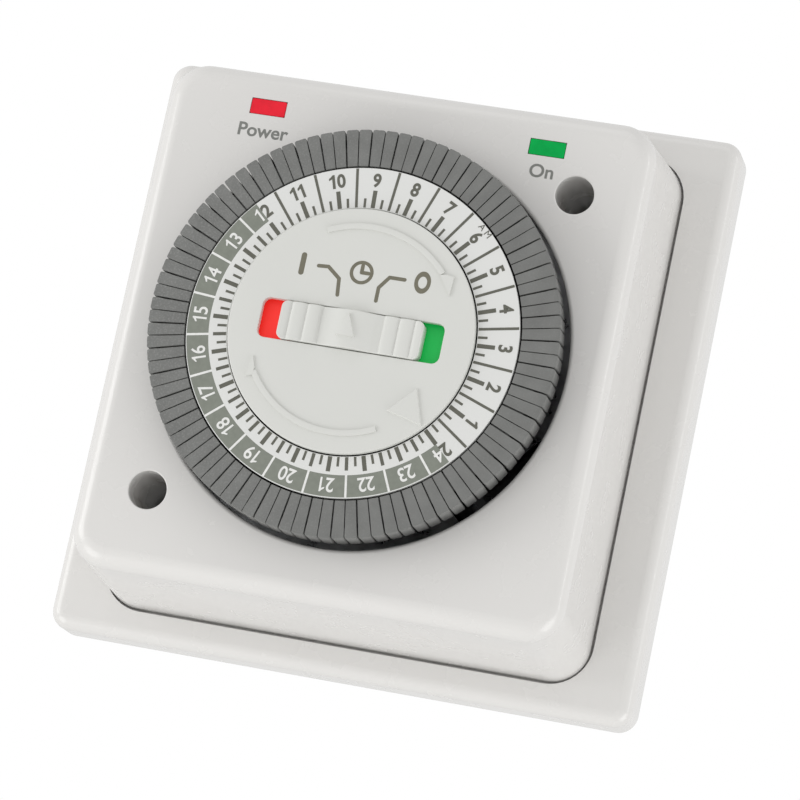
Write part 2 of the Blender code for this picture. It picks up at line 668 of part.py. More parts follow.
def make_switch(timer):
    frame = add_empty("switch_place", timer, turn=POINTER_ANGLE)
    inner, outer = 0.0304, 0.0368
    top = 0.0258
    body = add("microswitch_body", box((inner, outer), (-0.0042, 0.0158), (0.0160, top)), BLACK_PLASTIC, frame)
    middle = (inner + outer) / 2
    boolean(body, box((middle - 0.0011, middle + 0.0011), (PLUNGER_PLACE - 0.0011, PLUNGER_PLACE + 0.0011),
                      (0.0215, top + 0.001)))
    for number, y in enumerate((-0.0020, 0.0058, 0.0136), 1):
        add(f"switch_tab_{number}", box((middle - 0.0003, middle + 0.0003), (y - 0.0014, y + 0.0014),
                                        (0.0108, 0.0157)), BRASS, frame)
    plunger_axis = add_empty("plunger_axis", frame, (middle, PLUNGER_PLACE, 0))
    add("switch_plunger", centred_box((0.0016, 0.0016), (0.0235, LEVER_LOW - GAP)), RED_PLASTIC, plunger_axis)

    lever_axis = add_empty("lever_axis", frame, (LEVER_RADIUS, LEVER_PIVOT, (LEVER_LOW + LEVER_TOP) / 2))
    low, high = (z - lever_axis.location.z for z in (LEVER_LOW, LEVER_TOP))
    lever = add("switch_lever", box((-0.0018, 0.0009), (-LEVER_PIVOT - 0.0025, 0.0016), (low, high)),
                CREAM_PLASTIC, lever_axis)
    nose_top = NOSE_TOP - lever_axis.location.z
    nose = box((-0.0009, 0.0009), (-LEVER_PIVOT - 0.0022, -LEVER_PIVOT + 0.0022), (0, nose_top),
               top_scale=(1.0, 0.35))
    boolean(lever, nose, "UNION")
    boolean(lever, lying_cylinder(0.0006, "X", (-0.004, 0.004), (0, 0), 12))
    add("lever_pin", lying_cylinder(0.0005, "X", (LEVER_RADIUS - 0.0030, LEVER_RADIUS + 0.0021),
                                    (LEVER_PIVOT, lever_axis.location.z), 12), STEEL, frame)
    make_lever_bracket(frame, lever_axis.location.z)


def make_lever_bracket(frame, pin_height):
    low = MOVEMENT_PLATE_TOP + GAP
    y = (LEVER_PIVOT + 0.0001, LEVER_PIVOT + 0.0024)
    ends = (LEVER_RADIUS - 0.0030, LEVER_RADIUS + 0.0021)
    bracket = add("lever_bracket", box(ends, (LEVER_PIVOT - 0.0016, LEVER_PIVOT + 0.0016),
                                       (low, pin_height + 0.0013)), STEEL, frame)
    gap = box((ends[0] + 0.0008, ends[1] - 0.0008), (y[0] - 0.005, y[1] + 0.005), (low + 0.0006, 0.040))
    boolean(bracket, gap)
    boolean(bracket, lying_cylinder(0.0007, "X", (ends[0] - 0.001, ends[1] + 0.001),
                                    (LEVER_PIVOT, pin_height), 12))


# ---------------------------------------------------------------- terminals

def make_terminals(timer):
    low, high = 0.0008, PLATE_DEPTH
    y = -0.0100
    width = TERMINAL_PITCH * TERMINALS
    block = add("terminal_block", box((-width / 2, width / 2), (y - 0.0070, y + 0.0070), (low, high)),
                CREAM_PLASTIC, timer)
    pockets = []
    for number in range(TERMINALS):
        x = (number - (TERMINALS - 1) / 2) * TERMINAL_PITCH
        pockets.append(box((x - 0.0036, x + 0.0036), (y - 0.0046, y + 0.0046), (low - 0.001, 0.0070)))
        make_terminal(timer, number + 1, x, y)
    boolean(block, merged(*pockets))
    entries = []
    for number in range(TERMINALS):
        x = (number - (TERMINALS - 1) / 2) * TERMINAL_PITCH
        entries.append(lying_cylinder(0.0018, "Y", (y - 0.009, y - 0.004), (x, 0.0045), 12))
    boolean(block, merged(*entries))


def make_terminal(timer, number, x, y):
    clamp = add(f"terminal_clamp_{number}", box((x - 0.0032, x + 0.0032), (y - 0.0042, y + 0.0042),
                                                (0.0022, 0.0067)), BRASS, timer)
    boolean(clamp, lying_cylinder(0.0015, "Y", (y - 0.006, y + 0.006), (x, 0.0048), 12))
    boolean(clamp, cylinder(0.0013, (0.001, 0.0045), (x, y), 16))
    screw = add(f"terminal_screw_{number}", cylinder(0.0010, (0.0018, 0.0044), (x, y), 12), STEEL, timer)
    boolean(screw, cylinder(0.0022, (0.0009, 0.0019), (x, y), 20), "UNION")
    boolean(screw, box((x - 0.003, x + 0.003), (y - 0.0003, y + 0.0003), (0.0, 0.0014)))


# ---------------------------------------------------------------- the whole timer

def main():
    timer = add_empty("timer", None)
    timer.rotation_euler.x = pi / 2
    make_wall_plate(timer)
    make_front_casing(timer)
    make_cover_screws(timer)
    make_lenses(timer)
    make_rear_cover(timer)
    cut_switch_window(make_movement_plate(timer), timer)
    make_lamps(timer)
    make_motor(timer)
    make_motor_output(timer)
    make_idler(timer)
    make_centre_post(timer)
    dial_axis = add_empty("dial_axis", timer)
    make_dial_drum(dial_axis)
    make_scale_ring(dial_axis)
    make_dial_gear(dial_axis)
    make_segments(dial_axis)
    make_centre_disc(timer)
    make_markers(timer)
    make_override_slider(timer)
    make_switch(timer)
    make_terminals(timer)


main()
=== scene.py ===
"""Visible pieces of a wall-mounted 24-hour segment timer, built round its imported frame.

Pieces are modelled lying on their backs: X right, Y up the wall, Z out of the wall, in metres.
hang_up then stands each one up, so that +Z is up the wall and the timer faces -Y.
"""

import random
from math import atan2, cos, hypot, pi, radians, sin, tan

import bmesh
import bpy
from bpy.props import FloatProperty, FloatVectorProperty, PointerProperty
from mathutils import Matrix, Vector


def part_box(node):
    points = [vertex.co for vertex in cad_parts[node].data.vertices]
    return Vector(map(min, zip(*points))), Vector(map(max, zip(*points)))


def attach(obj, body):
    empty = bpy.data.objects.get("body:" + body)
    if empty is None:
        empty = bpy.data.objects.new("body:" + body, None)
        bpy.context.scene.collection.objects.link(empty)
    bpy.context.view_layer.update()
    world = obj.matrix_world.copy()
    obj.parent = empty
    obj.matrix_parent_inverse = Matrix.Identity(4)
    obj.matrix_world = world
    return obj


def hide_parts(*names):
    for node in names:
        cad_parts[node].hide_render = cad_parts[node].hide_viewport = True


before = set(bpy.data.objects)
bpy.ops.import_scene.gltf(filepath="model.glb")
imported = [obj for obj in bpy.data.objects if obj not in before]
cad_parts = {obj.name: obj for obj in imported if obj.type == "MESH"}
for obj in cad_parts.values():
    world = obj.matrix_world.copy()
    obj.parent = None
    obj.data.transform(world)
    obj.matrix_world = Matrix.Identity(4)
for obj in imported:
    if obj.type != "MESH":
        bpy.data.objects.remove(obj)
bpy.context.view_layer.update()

bl_info = {
    "name": "Segment Timer",
    "version": (1, 0, 0),
    "blender": (4, 5, 0),
    "location": "View3D > Sidebar > Timer",
    "description": "Builds the visible pieces of a wall-mounted 24-hour segment timer",
    "category": "Add Mesh",
}


def span(node):
    """A frame node's lowest and highest corners, as it lies on its back."""
    low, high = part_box(node)
    return Vector((low.x, low.z, -high.y)), Vector((high.x, high.z, -low.y))


PLATE_LOW, PLATE_HIGH = span("wall_plate")
CASING_LOW, CASING_HIGH = span("front_casing")
SEGMENTS_LOW, SEGMENTS_HIGH = span("segment_ring")
SCALE_LOW, SCALE_HIGH = span("scale_ring")
DISC_LOW, DISC_HIGH = span("centre_disc")
THUMB_LOW, THUMB_HIGH = span("override_thumb")
HOURS = 24
QUARTERS = 96
LOOSE_SEGMENTS = 8
FIRST_LOOSE_QUARTER = 24
MORNING = 6
NOON = 12
HAIR = 0.000002                  # closer than this is the same place
LAP = 0.0005                     # how far a part runs into the one it is joined to
CLEAR = 0.001                    # how far a cutter runs past the face it cuts
SINK = 0.00010                   # how deep a raised mark is set into its ground


# ---------------------------------------------------------------- settings

def length(name, description, default):
    return FloatProperty(name=name, description=description, default=default, unit="LENGTH", precision=5)


def turn(name, description, default):
    return FloatProperty(name=name, description=description, default=default, unit="ROTATION")


def colour(name, description, default):
    return FloatVectorProperty(name=name, description=description, default=default, subtype="COLOR",
                               size=3, min=0.0, max=1.0)


def watts(name, default):
    return FloatProperty(name=name, description=f"Power of the {name.lower()}, watts", default=default)


class BodySizes(bpy.types.PropertyGroup):
    """Sizes of the wall plate and of the casing on it."""
    plate_corner: length("Plate corner", "Radius of the wall plate's corners", 0.0034)
    plate_edge: length("Plate edge", "Radius of the wall plate's front edge", 0.0025)
    plate_wall: length("Plate wall", "Thickness of the wall plate", 0.0025)
    casing_corner: length("Casing corner", "Radius of the casing's upright corners", 0.0064)
    casing_edge: length("Casing edge", "Radius of the casing's front edge", 0.0032)
    casing_wall: length("Casing wall", "Thickness of the casing", 0.0022)
    casing_draft_x: length("Side draft", "How much narrower the casing is at its front", 0.0012)
    casing_draft_y: length("End draft", "How much shorter the casing is at its front", 0.0044)
    joint_gap: length("Joint gap", "Gap between the casing and the plate round it", 0.00052)
    recess_depth: length("Recess depth", "How deep the plate is recessed round the casing", 0.0020)
    screw_hole: length("Screw hole", "Radius of the holes for the cover screws", 0.0019)
    box_fixing: length("Box fixing", "Distance between the two slots for the wall box", 0.0603)
    opening_radius: length("Dial opening", "Radius of the round opening in the casing", 0.0356)
    opening_edge: length("Opening edge", "Rounding of the dial opening's edge", 0.00072)
    well_radius: length("Screw well", "Radius of the two screw wells", 0.0033)
    well_x: length("Screw well X", "Distance of a screw well from the middle, across", 0.0309)
    well_y: length("Screw well Y", "Distance of a screw well from the middle, up or down", 0.03085)


class DialSizes(bpy.types.PropertyGroup):
    """Sizes of the turning dial."""
    midnight: turn("Midnight", "Where hour 24 stands, anticlockwise from the right", radians(-42.5))
    segment_slit: turn("Slit", "Mean angle between two neighbouring segments", radians(0.34))
    segment_shake: turn("Shake", "How far a segment may stand off its place", radians(0.085))
    shoulder: length("Shoulder", "Rounding of a segment's outer top edge", 0.0018)
    segment_inner: length("Segment inside", "Radius of a segment's inner end", 0.02877)
    segment_plate: length("Segment plate", "Thickness of a segment's top plate", 0.0016)
    skirt_wall: length("Skirt wall", "Thickness of a segment's skirt", 0.0018)
    leg_inset: length("Leg inset", "How much thinner a segment's leg is than its skirt", 0.00035)
    skirt_foot: length("Skirt foot", "Height of the lower end of a segment's skirt", 0.0398)
    scale_inner: length("Scale inside", "Inner radius of the scale ring", 0.02135)
    band_inner: length("Night band", "Inner radius of the grey half of the scale", 0.02455)
    numeral_radius: length("Numerals", "Radius of the middle of the hour numerals", 0.02632)
    bold: FloatProperty(name="Bold", description="How much the day's numerals are thickened", default=0.030)
    numeral_pitch: length("Numeral pitch", "Distance between the two digits of a numeral", 0.00142)
    numeral_height: length("Numeral height", "Height of the hour numerals", 0.00245)


class SliderSizes(bpy.types.PropertyGroup):
    """Sizes of the override slider's thumb."""
    half_length: length("Half length", "Half the length of the thumb", 0.01235)
    half_width: length("Half width", "Half the width of the thumb", 0.0033)
    corner: length("Corner", "Radius of the thumb's upright corners", 0.0011)
    rib_start: length("Rib start", "Distance from the middle to the first groove", 0.00535)
    rib_pitch: length("Rib pitch", "Distance between two grooves", 0.00268)
    rib_height: length("Groove height", "Height of the bottom of the grooves", 0.04535)
    rib_rise: length("Rib rise", "How far a rib stands over its grooves", 0.00050)
    mark_rise: length("Mark rise", "How far the raised triangle stands out", 0.00048)


class PlasticColours(bpy.types.PropertyGroup):
    """Colours of the timer's plastics and inks."""
    casing: colour("Casing", "Glossy white of plate and casing", (0.735, 0.723, 0.703))
    disc: colour("Disc", "Satin white of disc and slider", (0.690, 0.694, 0.662))
    scale: colour("Scale", "White of the scale ring", (0.735, 0.738, 0.72))
    segments: colour("Segments", "Grey of the dial's segments", (0.171, 0.173, 0.166))
    band: colour("Band", "Grey-green ink of the night half", (0.215, 0.23, 0.195))
    dark_ink: colour("Dark ink", "Ink of the day numerals and the ticks", (0.115, 0.115, 0.092))
    olive_ink: colour("Olive ink", "Ink of the signs on the disc", (0.165, 0.155, 0.112))
    label_ink: colour("Label ink", "Ink of the labels on the casing", (0.205, 0.21, 0.195))
    red_lens: colour("Red lens", "Red of the lens", (0.84, 0.022, 0.042))
    green_lens: colour("Green lens", "Green of the lens", (0.0, 0.43, 0.080))
    red: colour("Red", "Red of lens and marker", (0.98, 0.030, 0.022))
    green: colour("Green", "Green of lens and marker", (0.002, 0.52, 0.085))


class StageSettings(bpy.types.PropertyGroup):
    """Camera and lights."""
    focal_length: FloatProperty(name="Focal length", description="Camera lens, millimetres", default=186.4)
    left_light: watts("Left light", 2.3)
    low_left_light: watts("Low left light", 2.0)
    low_right_light: watts("Low right light", 2.2)
    right_strip: watts("Right strip", 0.7)
    top_light: watts("Top light", 0.5)
    room_light: FloatProperty(name="Room light", description="Strength of the even light", default=0.78)


# ---------------------------------------------------------------- picking and shaping

def same(a, b):
    return abs(a - b) < HAIR


def middle_of(low, high):
    """The middle between two corners, seen from the front."""
    return (low.x + high.x) / 2, (low.y + high.y) / 2


def deselect_all():
    bpy.ops.object.select_all(action="DESELECT")


def select_only(obj):
    deselect_all()
    obj.select_set(True)
    bpy.context.view_layer.objects.active = obj


def object_mode():
    bpy.ops.object.mode_set(mode="OBJECT")


def pick(obj, kind, wanted):
    """Goes into edit mode with only those vertices, edges or faces selected whose points are wanted."""
    select_only(obj)
    bpy.ops.object.mode_set(mode="EDIT")
    bpy.ops.mesh.select_mode(type=kind)
    bpy.ops.mesh.select_all(action="DESELECT")
    shape = bmesh.from_edit_mesh(obj.data)
    parts = {"VERT": shape.verts, "EDGE": shape.edges, "FACE": shape.faces}[kind]
    found = False
    for part in parts:
        points = [part.co] if kind == "VERT" else [vert.co for vert in part.verts]
        if wanted(points):
            part.select_set(True)
            found = True
    if not found:
        raise RuntimeError(f"{obj.name}: nothing there to shape")
    shape.select_flush_mode()
    bmesh.update_edit_mesh(obj.data)


def everywhere(points):
    return True


def extrude(rise):
    """Extrudes what is selected straight up, or down where the rise is negative."""
    bpy.ops.mesh.extrude_region_move(TRANSFORM_OT_translate={"value": (0, 0, rise)})


def at_height(height):
    return lambda points: all(same(p.z, height) for p in points)


def upright(points):
    a, b = points
    return same(a.x, b.x) and same(a.y, b.y)


def rim_at(height, inner=0.0, outer=1.0):
    """Edges that lie at one height, with both ends between two radii."""
    return lambda points: all(same(p.z, height) and inner < hypot(p.x, p.y) < outer for p in points)


def round_off(obj, wanted, width, steps, finish=-1):
    """Rounds the wanted edges; the new faces take the material slot numbered finish."""
    pick(obj, "EDGE", wanted)
    bpy.ops.mesh.bevel(offset=width, offset_type="OFFSET", segments=steps, profile=0.5, affect="EDGES",
                       material=finish, clamp_overlap=True)
    object_mode()


def apply_place(obj):
    select_only(obj)
    bpy.ops.object.transform_apply(location=True, rotation=True, scale=True)


def just_added(name, scale=(1, 1, 1)):
    """The primitive that was just added, named, with its size and place in its mesh."""
    obj = bpy.context.object
    obj.name = name
    obj.scale = scale
    apply_place(obj)
    return obj


def block(name, x, y, z):
    """A block over three (low, high) ranges."""
    deselect_all()
    bpy.ops.mesh.primitive_cube_add(size=1, location=[(low + high) / 2 for low, high in (x, y, z)])
    return just_added(name, [high - low for low, high in (x, y, z)])


def centred_block(name, size, z):
    return block(name, (-size[0] / 2, size[0] / 2), (-size[1] / 2, size[1] / 2), z)


def drum(name, radius, z, place=(0.0, 0.0), sides=64):
    """A round block over a (low, high) range of heights."""
    deselect_all()
    bpy.ops.mesh.primitive_cylinder_add(vertices=sides, radius=radius, depth=z[1] - z[0],
                                        location=(*place, (z[0] + z[1]) / 2))
    return just_added(name)


def lying_drum(name, radius, span_y, place, sides=32):
    """A round bar along Y; place gives its X and Z."""
    deselect_all()
    bpy.ops.mesh.primitive_cylinder_add(vertices=sides, radius=radius, depth=span_y[1] - span_y[0],
                                        location=(place[0], (span_y[0] + span_y[1]) / 2, place[1]),
                                        rotation=(pi / 2, 0, 0))
    return just_added(name)


def flared_cutter(name, radius, low, face, place=(0.0, 0.0), sides=64, rounding=0.0003, steps=4):
    """A round cutter whose mouth flares out, so that the edge it leaves at the face is rounded."""
    cutter = drum(name, radius, (low, face - rounding), place, sides)
    pick(cutter, "FACE", at_height(face - rounding))
    reach, height = radius, face - rounding
    for step in range(1, steps + 1):
        angle = step * pi / 2 / steps
        next_reach = radius + rounding * (1 - cos(angle))
        next_height = face - rounding + rounding * sin(angle)
        extrude(next_height - height)
        grow = next_reach / reach
        bpy.ops.transform.resize(value=(grow, grow, 1), center_override=(*place, next_height))
        reach, height = next_reach, next_height
    extrude(CLEAR)
    object_mode()
    return cutter


def arc_bar(name, inner, outer, z, start=0.0, sweep=2 * pi, steps=96):
    """A flat bar bent round the dial's axis: a strip set upright at the start and spun through the sweep."""
    deselect_all()
    middle, half = (inner + outer) / 2, (z[0] + z[1]) / 2
    bpy.ops.mesh.primitive_plane_add(size=1, location=(middle * cos(start), middle * sin(start), half),
                                     rotation=(pi / 2, 0, start))
    obj = just_added(name, (outer - inner, z[1] - z[0], 1))
    whole = sweep > 2 * pi - HAIR
    pick(obj, "FACE", everywhere)
    if whole:
        bpy.ops.mesh.delete(type="ONLY_FACE")
        bpy.ops.mesh.select_all(action="SELECT")
    bpy.ops.mesh.spin(steps=steps, angle=sweep, center=(0, 0, 0), axis=(0, 0, -1))
    bpy.ops.mesh.select_all(action="SELECT")
    bpy.ops.mesh.remove_doubles(threshold=HAIR)
    bpy.ops.mesh.normals_make_consistent(inside=False)
    object_mode()
    return obj


def combine(target, operation, *tools):
    """Cuts the tools from the target, or joins them to it, and removes them."""
    for tool in tools:
        modifier = target.modifiers.new(operation.lower(), "BOOLEAN")
        modifier.operation = operation
        modifier.solver = "EXACT"
        modifier.object = tool
        select_only(target)
        bpy.ops.object.modifier_apply(modifier=modifier.name)
        bpy.data.objects.remove(tool)


def bisect(obj, place, normal):
    """Cuts a ring of edges into the whole piece along a plane."""
    pick(obj, "FACE", everywhere)
    bpy.ops.mesh.bisect(plane_co=place, plane_no=normal)
    object_mode()


def joined(name, pieces):
    """One object from several, with its place in its mesh."""
    deselect_all()
    for piece in pieces:
        piece.select_set(True)
    bpy.context.view_layer.objects.active = pieces[0]
    bpy.ops.object.transform_apply(location=True, rotation=True, scale=True)
    if len(pieces) > 1:
        bpy.ops.object.join()
    obj = bpy.context.view_layer.objects.active
    obj.name = name
    return obj


def copies_at(pattern, places):
    """Copies of a pattern, each with its own mesh, at (x, y, turn) places; the pattern goes."""
    copies = []
    for x, y, angle in places:
        select_only(pattern)
        bpy.ops.object.duplicate(linked=False)
        copy = bpy.context.object
        copy.location = (x, y, 0)
        copy.rotation_euler.z = angle
        copies.append(copy)
    bpy.data.objects.remove(pattern)
    return copies


def lettering(words, height, z, squeeze=1.0, weight=0.0):
    """Flat letters of a given height in the middle of the bench, as closed solids over a range of heights."""
    deselect_all()
    bpy.ops.object.text_add()
    text = bpy.context.object
    text.data.body = words
    text.data.size = 1.0
    text.data.offset = weight
    text.data.extrude = 0.5
    text.data.resolution_u = 5
    bpy.ops.object.convert(target="MESH")
    obj = bpy.context.object
    pick(obj, "FACE", everywhere)
    bpy.ops.mesh.remove_doubles(threshold=0.0001)
    bpy.ops.mesh.normals_make_consistent(inside=False)
    object_mode()
    corners = [Vector(corner) for corner in obj.bound_box]
    low = Vector([min(c[i] for c in corners) for i in range(3)])
    high = Vector([max(c[i] for c in corners) for i in range(3)])
    middle = (low + high) / 2
    grow = height / (high.y - low.y)
    scale = Vector((grow * squeeze, grow, (z[1] - z[0]) / (high.z - low.z)))
    obj.scale = scale
    obj.location = (-middle.x * scale.x, -middle.y * scale.y, (z[0] + z[1]) / 2 - middle.z * scale.z)
    apply_place(obj)
    return obj


def digit_one(height, z, stroke):
    """The digit 1 with its flag, centred, as a solid."""
    half = stroke / 2
    outline = [(-half, -0.50), (half, -0.50), (half, 0.50), (-half * 0.4, 0.50), (-half - 0.06, 0.38),
               (-half - 0.22, 0.27), (-half - 0.22, 0.27 - stroke * 0.8), (-half, 0.37 - stroke * 0.8)]
    return flat_prism("one", [((x + 0.05) * height, y * height) for x, y in outline], z)


def number(value, height, z, weight, stroke, pitch):
    """One or two digits side by side, centred, as one object."""
    digits = []
    for place, mark in enumerate(str(value)):
        if mark == "1":
            digit = digit_one(height, z, stroke)
        else:
            digit = lettering(mark, height, z, 0.90, weight)
        digit.location.x += pitch * (place - (len(str(value)) - 1) / 2)
        digits.append(digit)
    return joined("number", digits)


def bar_between(name, a, b, width, z, ends=6):
    """A flat bar with round ends from one point to another."""
    reach = hypot(b[0] - a[0], b[1] - a[1])
    half = width / 2
    obj = block(name, (-half, reach + half), (-half, half), z)
    round_off(obj, upright, half * 0.98, ends)
    obj.location = (a[0], a[1], 0)
    obj.rotation_euler.z = atan2(b[1] - a[1], b[0] - a[0])
    apply_place(obj)
    return obj


def flat_prism(name, outline, z):
    """A solid with straight sides on a closed outline of three or more points."""
    deselect_all()
    bpy.ops.mesh.primitive_circle_add(vertices=len(outline), radius=0.001, fill_type="NGON")
    obj = just_added(name)
    for vert, (x, y) in zip(obj.data.vertices, outline):
        vert.co = (x, y, z[0])
    pick(obj, "FACE", everywhere)
    extrude(z[1] - z[0])
    bpy.ops.mesh.select_all(action="SELECT")
    bpy.ops.mesh.normals_make_consistent(inside=False)
    object_mode()
    return obj


def give_finishes(obj, *finishes):
    obj.data.materials.clear()
    for finish in finishes:
        obj.data.materials.append(finish_of(finish))


def hang_up(obj, body, slot, *nodes, smooth=32, finish=None):
    """Shades a finished piece, stands it up against the wall and lets it ride on its body."""
    if finish:
        give_finishes(obj, finish)
    apply_place(obj)
    obj.rotation_euler.x = pi / 2
    apply_place(obj)
    bpy.ops.object.shade_smooth_by_angle(angle=radians(smooth))
    even = obj.modifiers.new("even faces", "WEIGHTED_NORMAL")
    even.keep_sharp = True
    bpy.ops.object.modifier_apply(modifier=even.name)
    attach(obj, body)
    if nodes:
        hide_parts(*nodes)


# ---------------------------------------------------------------- materials

class Finish:
    """A shader whose colour, gloss and surface are patterned on Object coordinates."""

    def __init__(self, name, roughness, metallic=0.0, **sockets):
        self.material = bpy.data.materials.new(name)
        self.material.use_nodes = True
        self.tree = self.material.node_tree
        self.shader = self.tree.nodes["Principled BSDF"]
        self.shader.inputs["Roughness"].default_value = roughness
        self.shader.inputs["Metallic"].default_value = metallic
        for socket, value in sockets.items():
            self.shader.inputs[socket.replace("_", " ")].default_value = value
        self.place = self.tree.nodes.new("ShaderNodeTexCoord").outputs["Object"]

    def link(self, start, end):
        self.tree.links.new(start, end)

    def noise(self, size, detail=2.0, stretch=(1, 1, 1)):
        """Soft noise whose blots are about one size across."""
        mapping = self.tree.nodes.new("ShaderNodeMapping")
        mapping.inputs["Scale"].default_value = stretch
        self.link(self.place, mapping.inputs["Vector"])
        noise = self.tree.nodes.new("ShaderNodeTexNoise")
        noise.inputs["Scale"].default_value = 1 / size
        noise.inputs["Detail"].default_value = detail
        self.link(mapping.outputs["Vector"], noise.inputs["Vector"])
        return noise.outputs["Fac"]

    def ramp(self, source, stops):
        node = self.tree.nodes.new("ShaderNodeValToRGB")
        elements = node.color_ramp.elements
        while len(elements) < len(stops):
            elements.new(0.5)
        for element, (position, tone) in zip(elements, stops):
            element.position = position
            element.color = (*tone, 1.0)
        self.link(source, node.inputs["Fac"])
        return node.outputs["Color"]

    def mix(self, factor, first, second, blend="MIX"):
        """Two colours mixed by a factor, or fully where the factor is None."""
        node = self.tree.nodes.new("ShaderNodeMix")
        node.data_type = "RGBA"
        node.blend_type = blend
        node.inputs[0].default_value = 1.0
        if factor is not None:
            self.link(factor, node.inputs[0])
        self.link(first, node.inputs[6])
        self.link(second, node.inputs[7])
        return node.outputs[2]

    def times(self, first, second):
        """Two colours multiplied."""
        return self.mix(None, first, second, "MULTIPLY")

    def along(self, axis, start, end):
        """0 to 1 from one place to another along an axis of the finished timer."""
        split = self.tree.nodes.new("ShaderNodeSeparateXYZ")
        self.link(self.place, split.inputs["Vector"])
        return self.between(split.outputs[axis], 0.0, 1.0, start, end)

    def between(self, source, low, high, from_low=0.3, from_high=0.7):
        node = self.tree.nodes.new("ShaderNodeMapRange")
        node.inputs["From Min"].default_value = from_low
        node.inputs["From Max"].default_value = from_high
        node.inputs["To Min"].default_value = low
        node.inputs["To Max"].default_value = high
        self.link(source, node.inputs["Value"])
        return node.outputs["Result"]

    def colour_from(self, output):
        self.link(output, self.shader.inputs["Base Color"])

    def roughness_from(self, source, low, high):
        self.link(self.between(source, low, high), self.shader.inputs["Roughness"])

    def clouded(self, tone, spread, size, detail):
        """A colour that drifts between a darker and a lighter version of a tone."""
        dark, light = shades(tone, spread)
        return self.ramp(self.noise(size, detail), [(0.30, dark), (0.70, light)])

    def relief(self, source, depth, strength=1.0):
        bump = self.tree.nodes.new("ShaderNodeBump")
        bump.inputs["Distance"].default_value = depth
        bump.inputs["Strength"].default_value = strength
        self.link(source, bump.inputs["Height"])
        self.link(bump.outputs["Normal"], self.shader.inputs["Normal"])


def grey(level):
    return level, level, level


def shades(tone, spread):
    """A darker and a lighter version of a colour."""
    return [tuple(min(1.0, part * (1 + side * spread)) for part in tone) for side in (-1, 1)]


def moulded(name, tone, gloss, spread=0.02, grain=0.0006, depth=0.000004, coat=0.0, painted_glow=0.0):
    """Moulded plastic: slight clouding of the colour, patches of gloss, and a fine skin; where a painted glow
    is given, it brightens the plastic though it is no lamp.
    """
    finish = Finish(name, gloss, Coat_Weight=coat, Coat_Roughness=0.12, Emission_Color=(*tone, 1.0),
                    Emission_Strength=painted_glow)
    finish.colour_from(finish.clouded(tone, spread, 0.022, 4.0))
    finish.roughness_from(finish.noise(0.006, 5.0), gloss - 0.05, gloss + 0.07)
    finish.relief(finish.noise(grain, 3.0), depth, 0.6)
    return finish.material


def dusty(name, tone, gloss):
    """Matt grey moulding with fine grain, pale dust and small scuffs, painted lighter on the left where light
    falls, and darkened by painted shade down the skirt towards its foot.
    """
    finish = Finish(name, gloss)
    base = finish.clouded(tone, 0.09, 0.0035, 3.0)
    pale = finish.ramp(finish.noise(0.0011, 5.0), [(0.0, tuple(part * 1.55 for part in tone)),
                                                   (1.0, tuple(part * 1.85 for part in tone))])
    dust = finish.ramp(finish.noise(0.00032, 5.0), [(0.50, grey(0.0)), (0.78, grey(0.9))])
    # pale dust thinning from left to right: real dust, and also painted light that makes the ring's left side
    # lighter, as if lit from the left
    across = finish.ramp(finish.along("X", -0.036, 0.010), [(0.0, grey(1.0)), (1.0, grey(0.25))])
    dusted_and_lit_left = finish.mix(finish.times(dust, across), base, pale)
    # painted shade: the skirt darkens towards its foot, where the gap round the dial lies in shadow
    painted_shade_low = finish.ramp(finish.along("Y", -0.0402, -0.0434), [(0.0, grey(0.10)), (1.0, grey(1.0))])
    finish.colour_from(finish.times(dusted_and_lit_left, painted_shade_low))
    finish.roughness_from(finish.noise(0.0012, 4.0), gloss - 0.08, gloss + 0.12)
    finish.relief(finish.noise(0.00025, 4.0), 0.000012, 0.7)
    return finish.material


def printed(name, tone, gloss=0.5):
    """Printed ink: slightly uneven cover, and the mesh's fine mottle."""
    finish = Finish(name, gloss)
    finish.colour_from(finish.clouded(tone, 0.06, 0.0009, 5.0))
    finish.roughness_from(finish.noise(0.002, 3.0), gloss - 0.08, gloss + 0.08)
    finish.relief(finish.noise(0.0003, 2.0), 0.000003, 0.5)
    return finish.material


def lens(name, tone):
    """Tinted clear plastic, deep in colour, with a soft inner texture."""
    finish = Finish(name, 0.22, Specular_IOR_Level=0.12)
    finish.colour_from(finish.clouded(tone, 0.12, 0.003, 3.0))
    finish.roughness_from(finish.noise(0.001, 3.0), 0.18, 0.30)
    finish.relief(finish.noise(0.0008, 3.0), 0.000006, 0.5)
    return finish.material


def metal(name, tone, gloss, stretch=(1, 1, 14)):
    """Sheet or turned metal with fine drawn lines and dull patches."""
    finish = Finish(name, gloss, metallic=1.0)
    finish.colour_from(finish.clouded(tone, 0.10, 0.004, 5.0))
    finish.roughness_from(finish.noise(0.003, 5.0), gloss - 0.07, gloss + 0.14)
    finish.relief(finish.noise(0.0015, 4.0, stretch), 0.000008, 0.6)
    return finish.material


def clear_glass(name):
    """Lamp glass round a glowing orange gas, seen unlit."""
    finish = Finish(name, 0.05, Transmission_Weight=0.85, IOR=1.45)
    finish.colour_from(finish.ramp(finish.noise(0.002, 2.0), [(0.3, (0.85, 0.70, 0.58)),
                                                              (0.7, (0.95, 0.90, 0.85))]))
    finish.relief(finish.noise(0.001, 2.0), 0.000005, 0.4)
    return finish.material


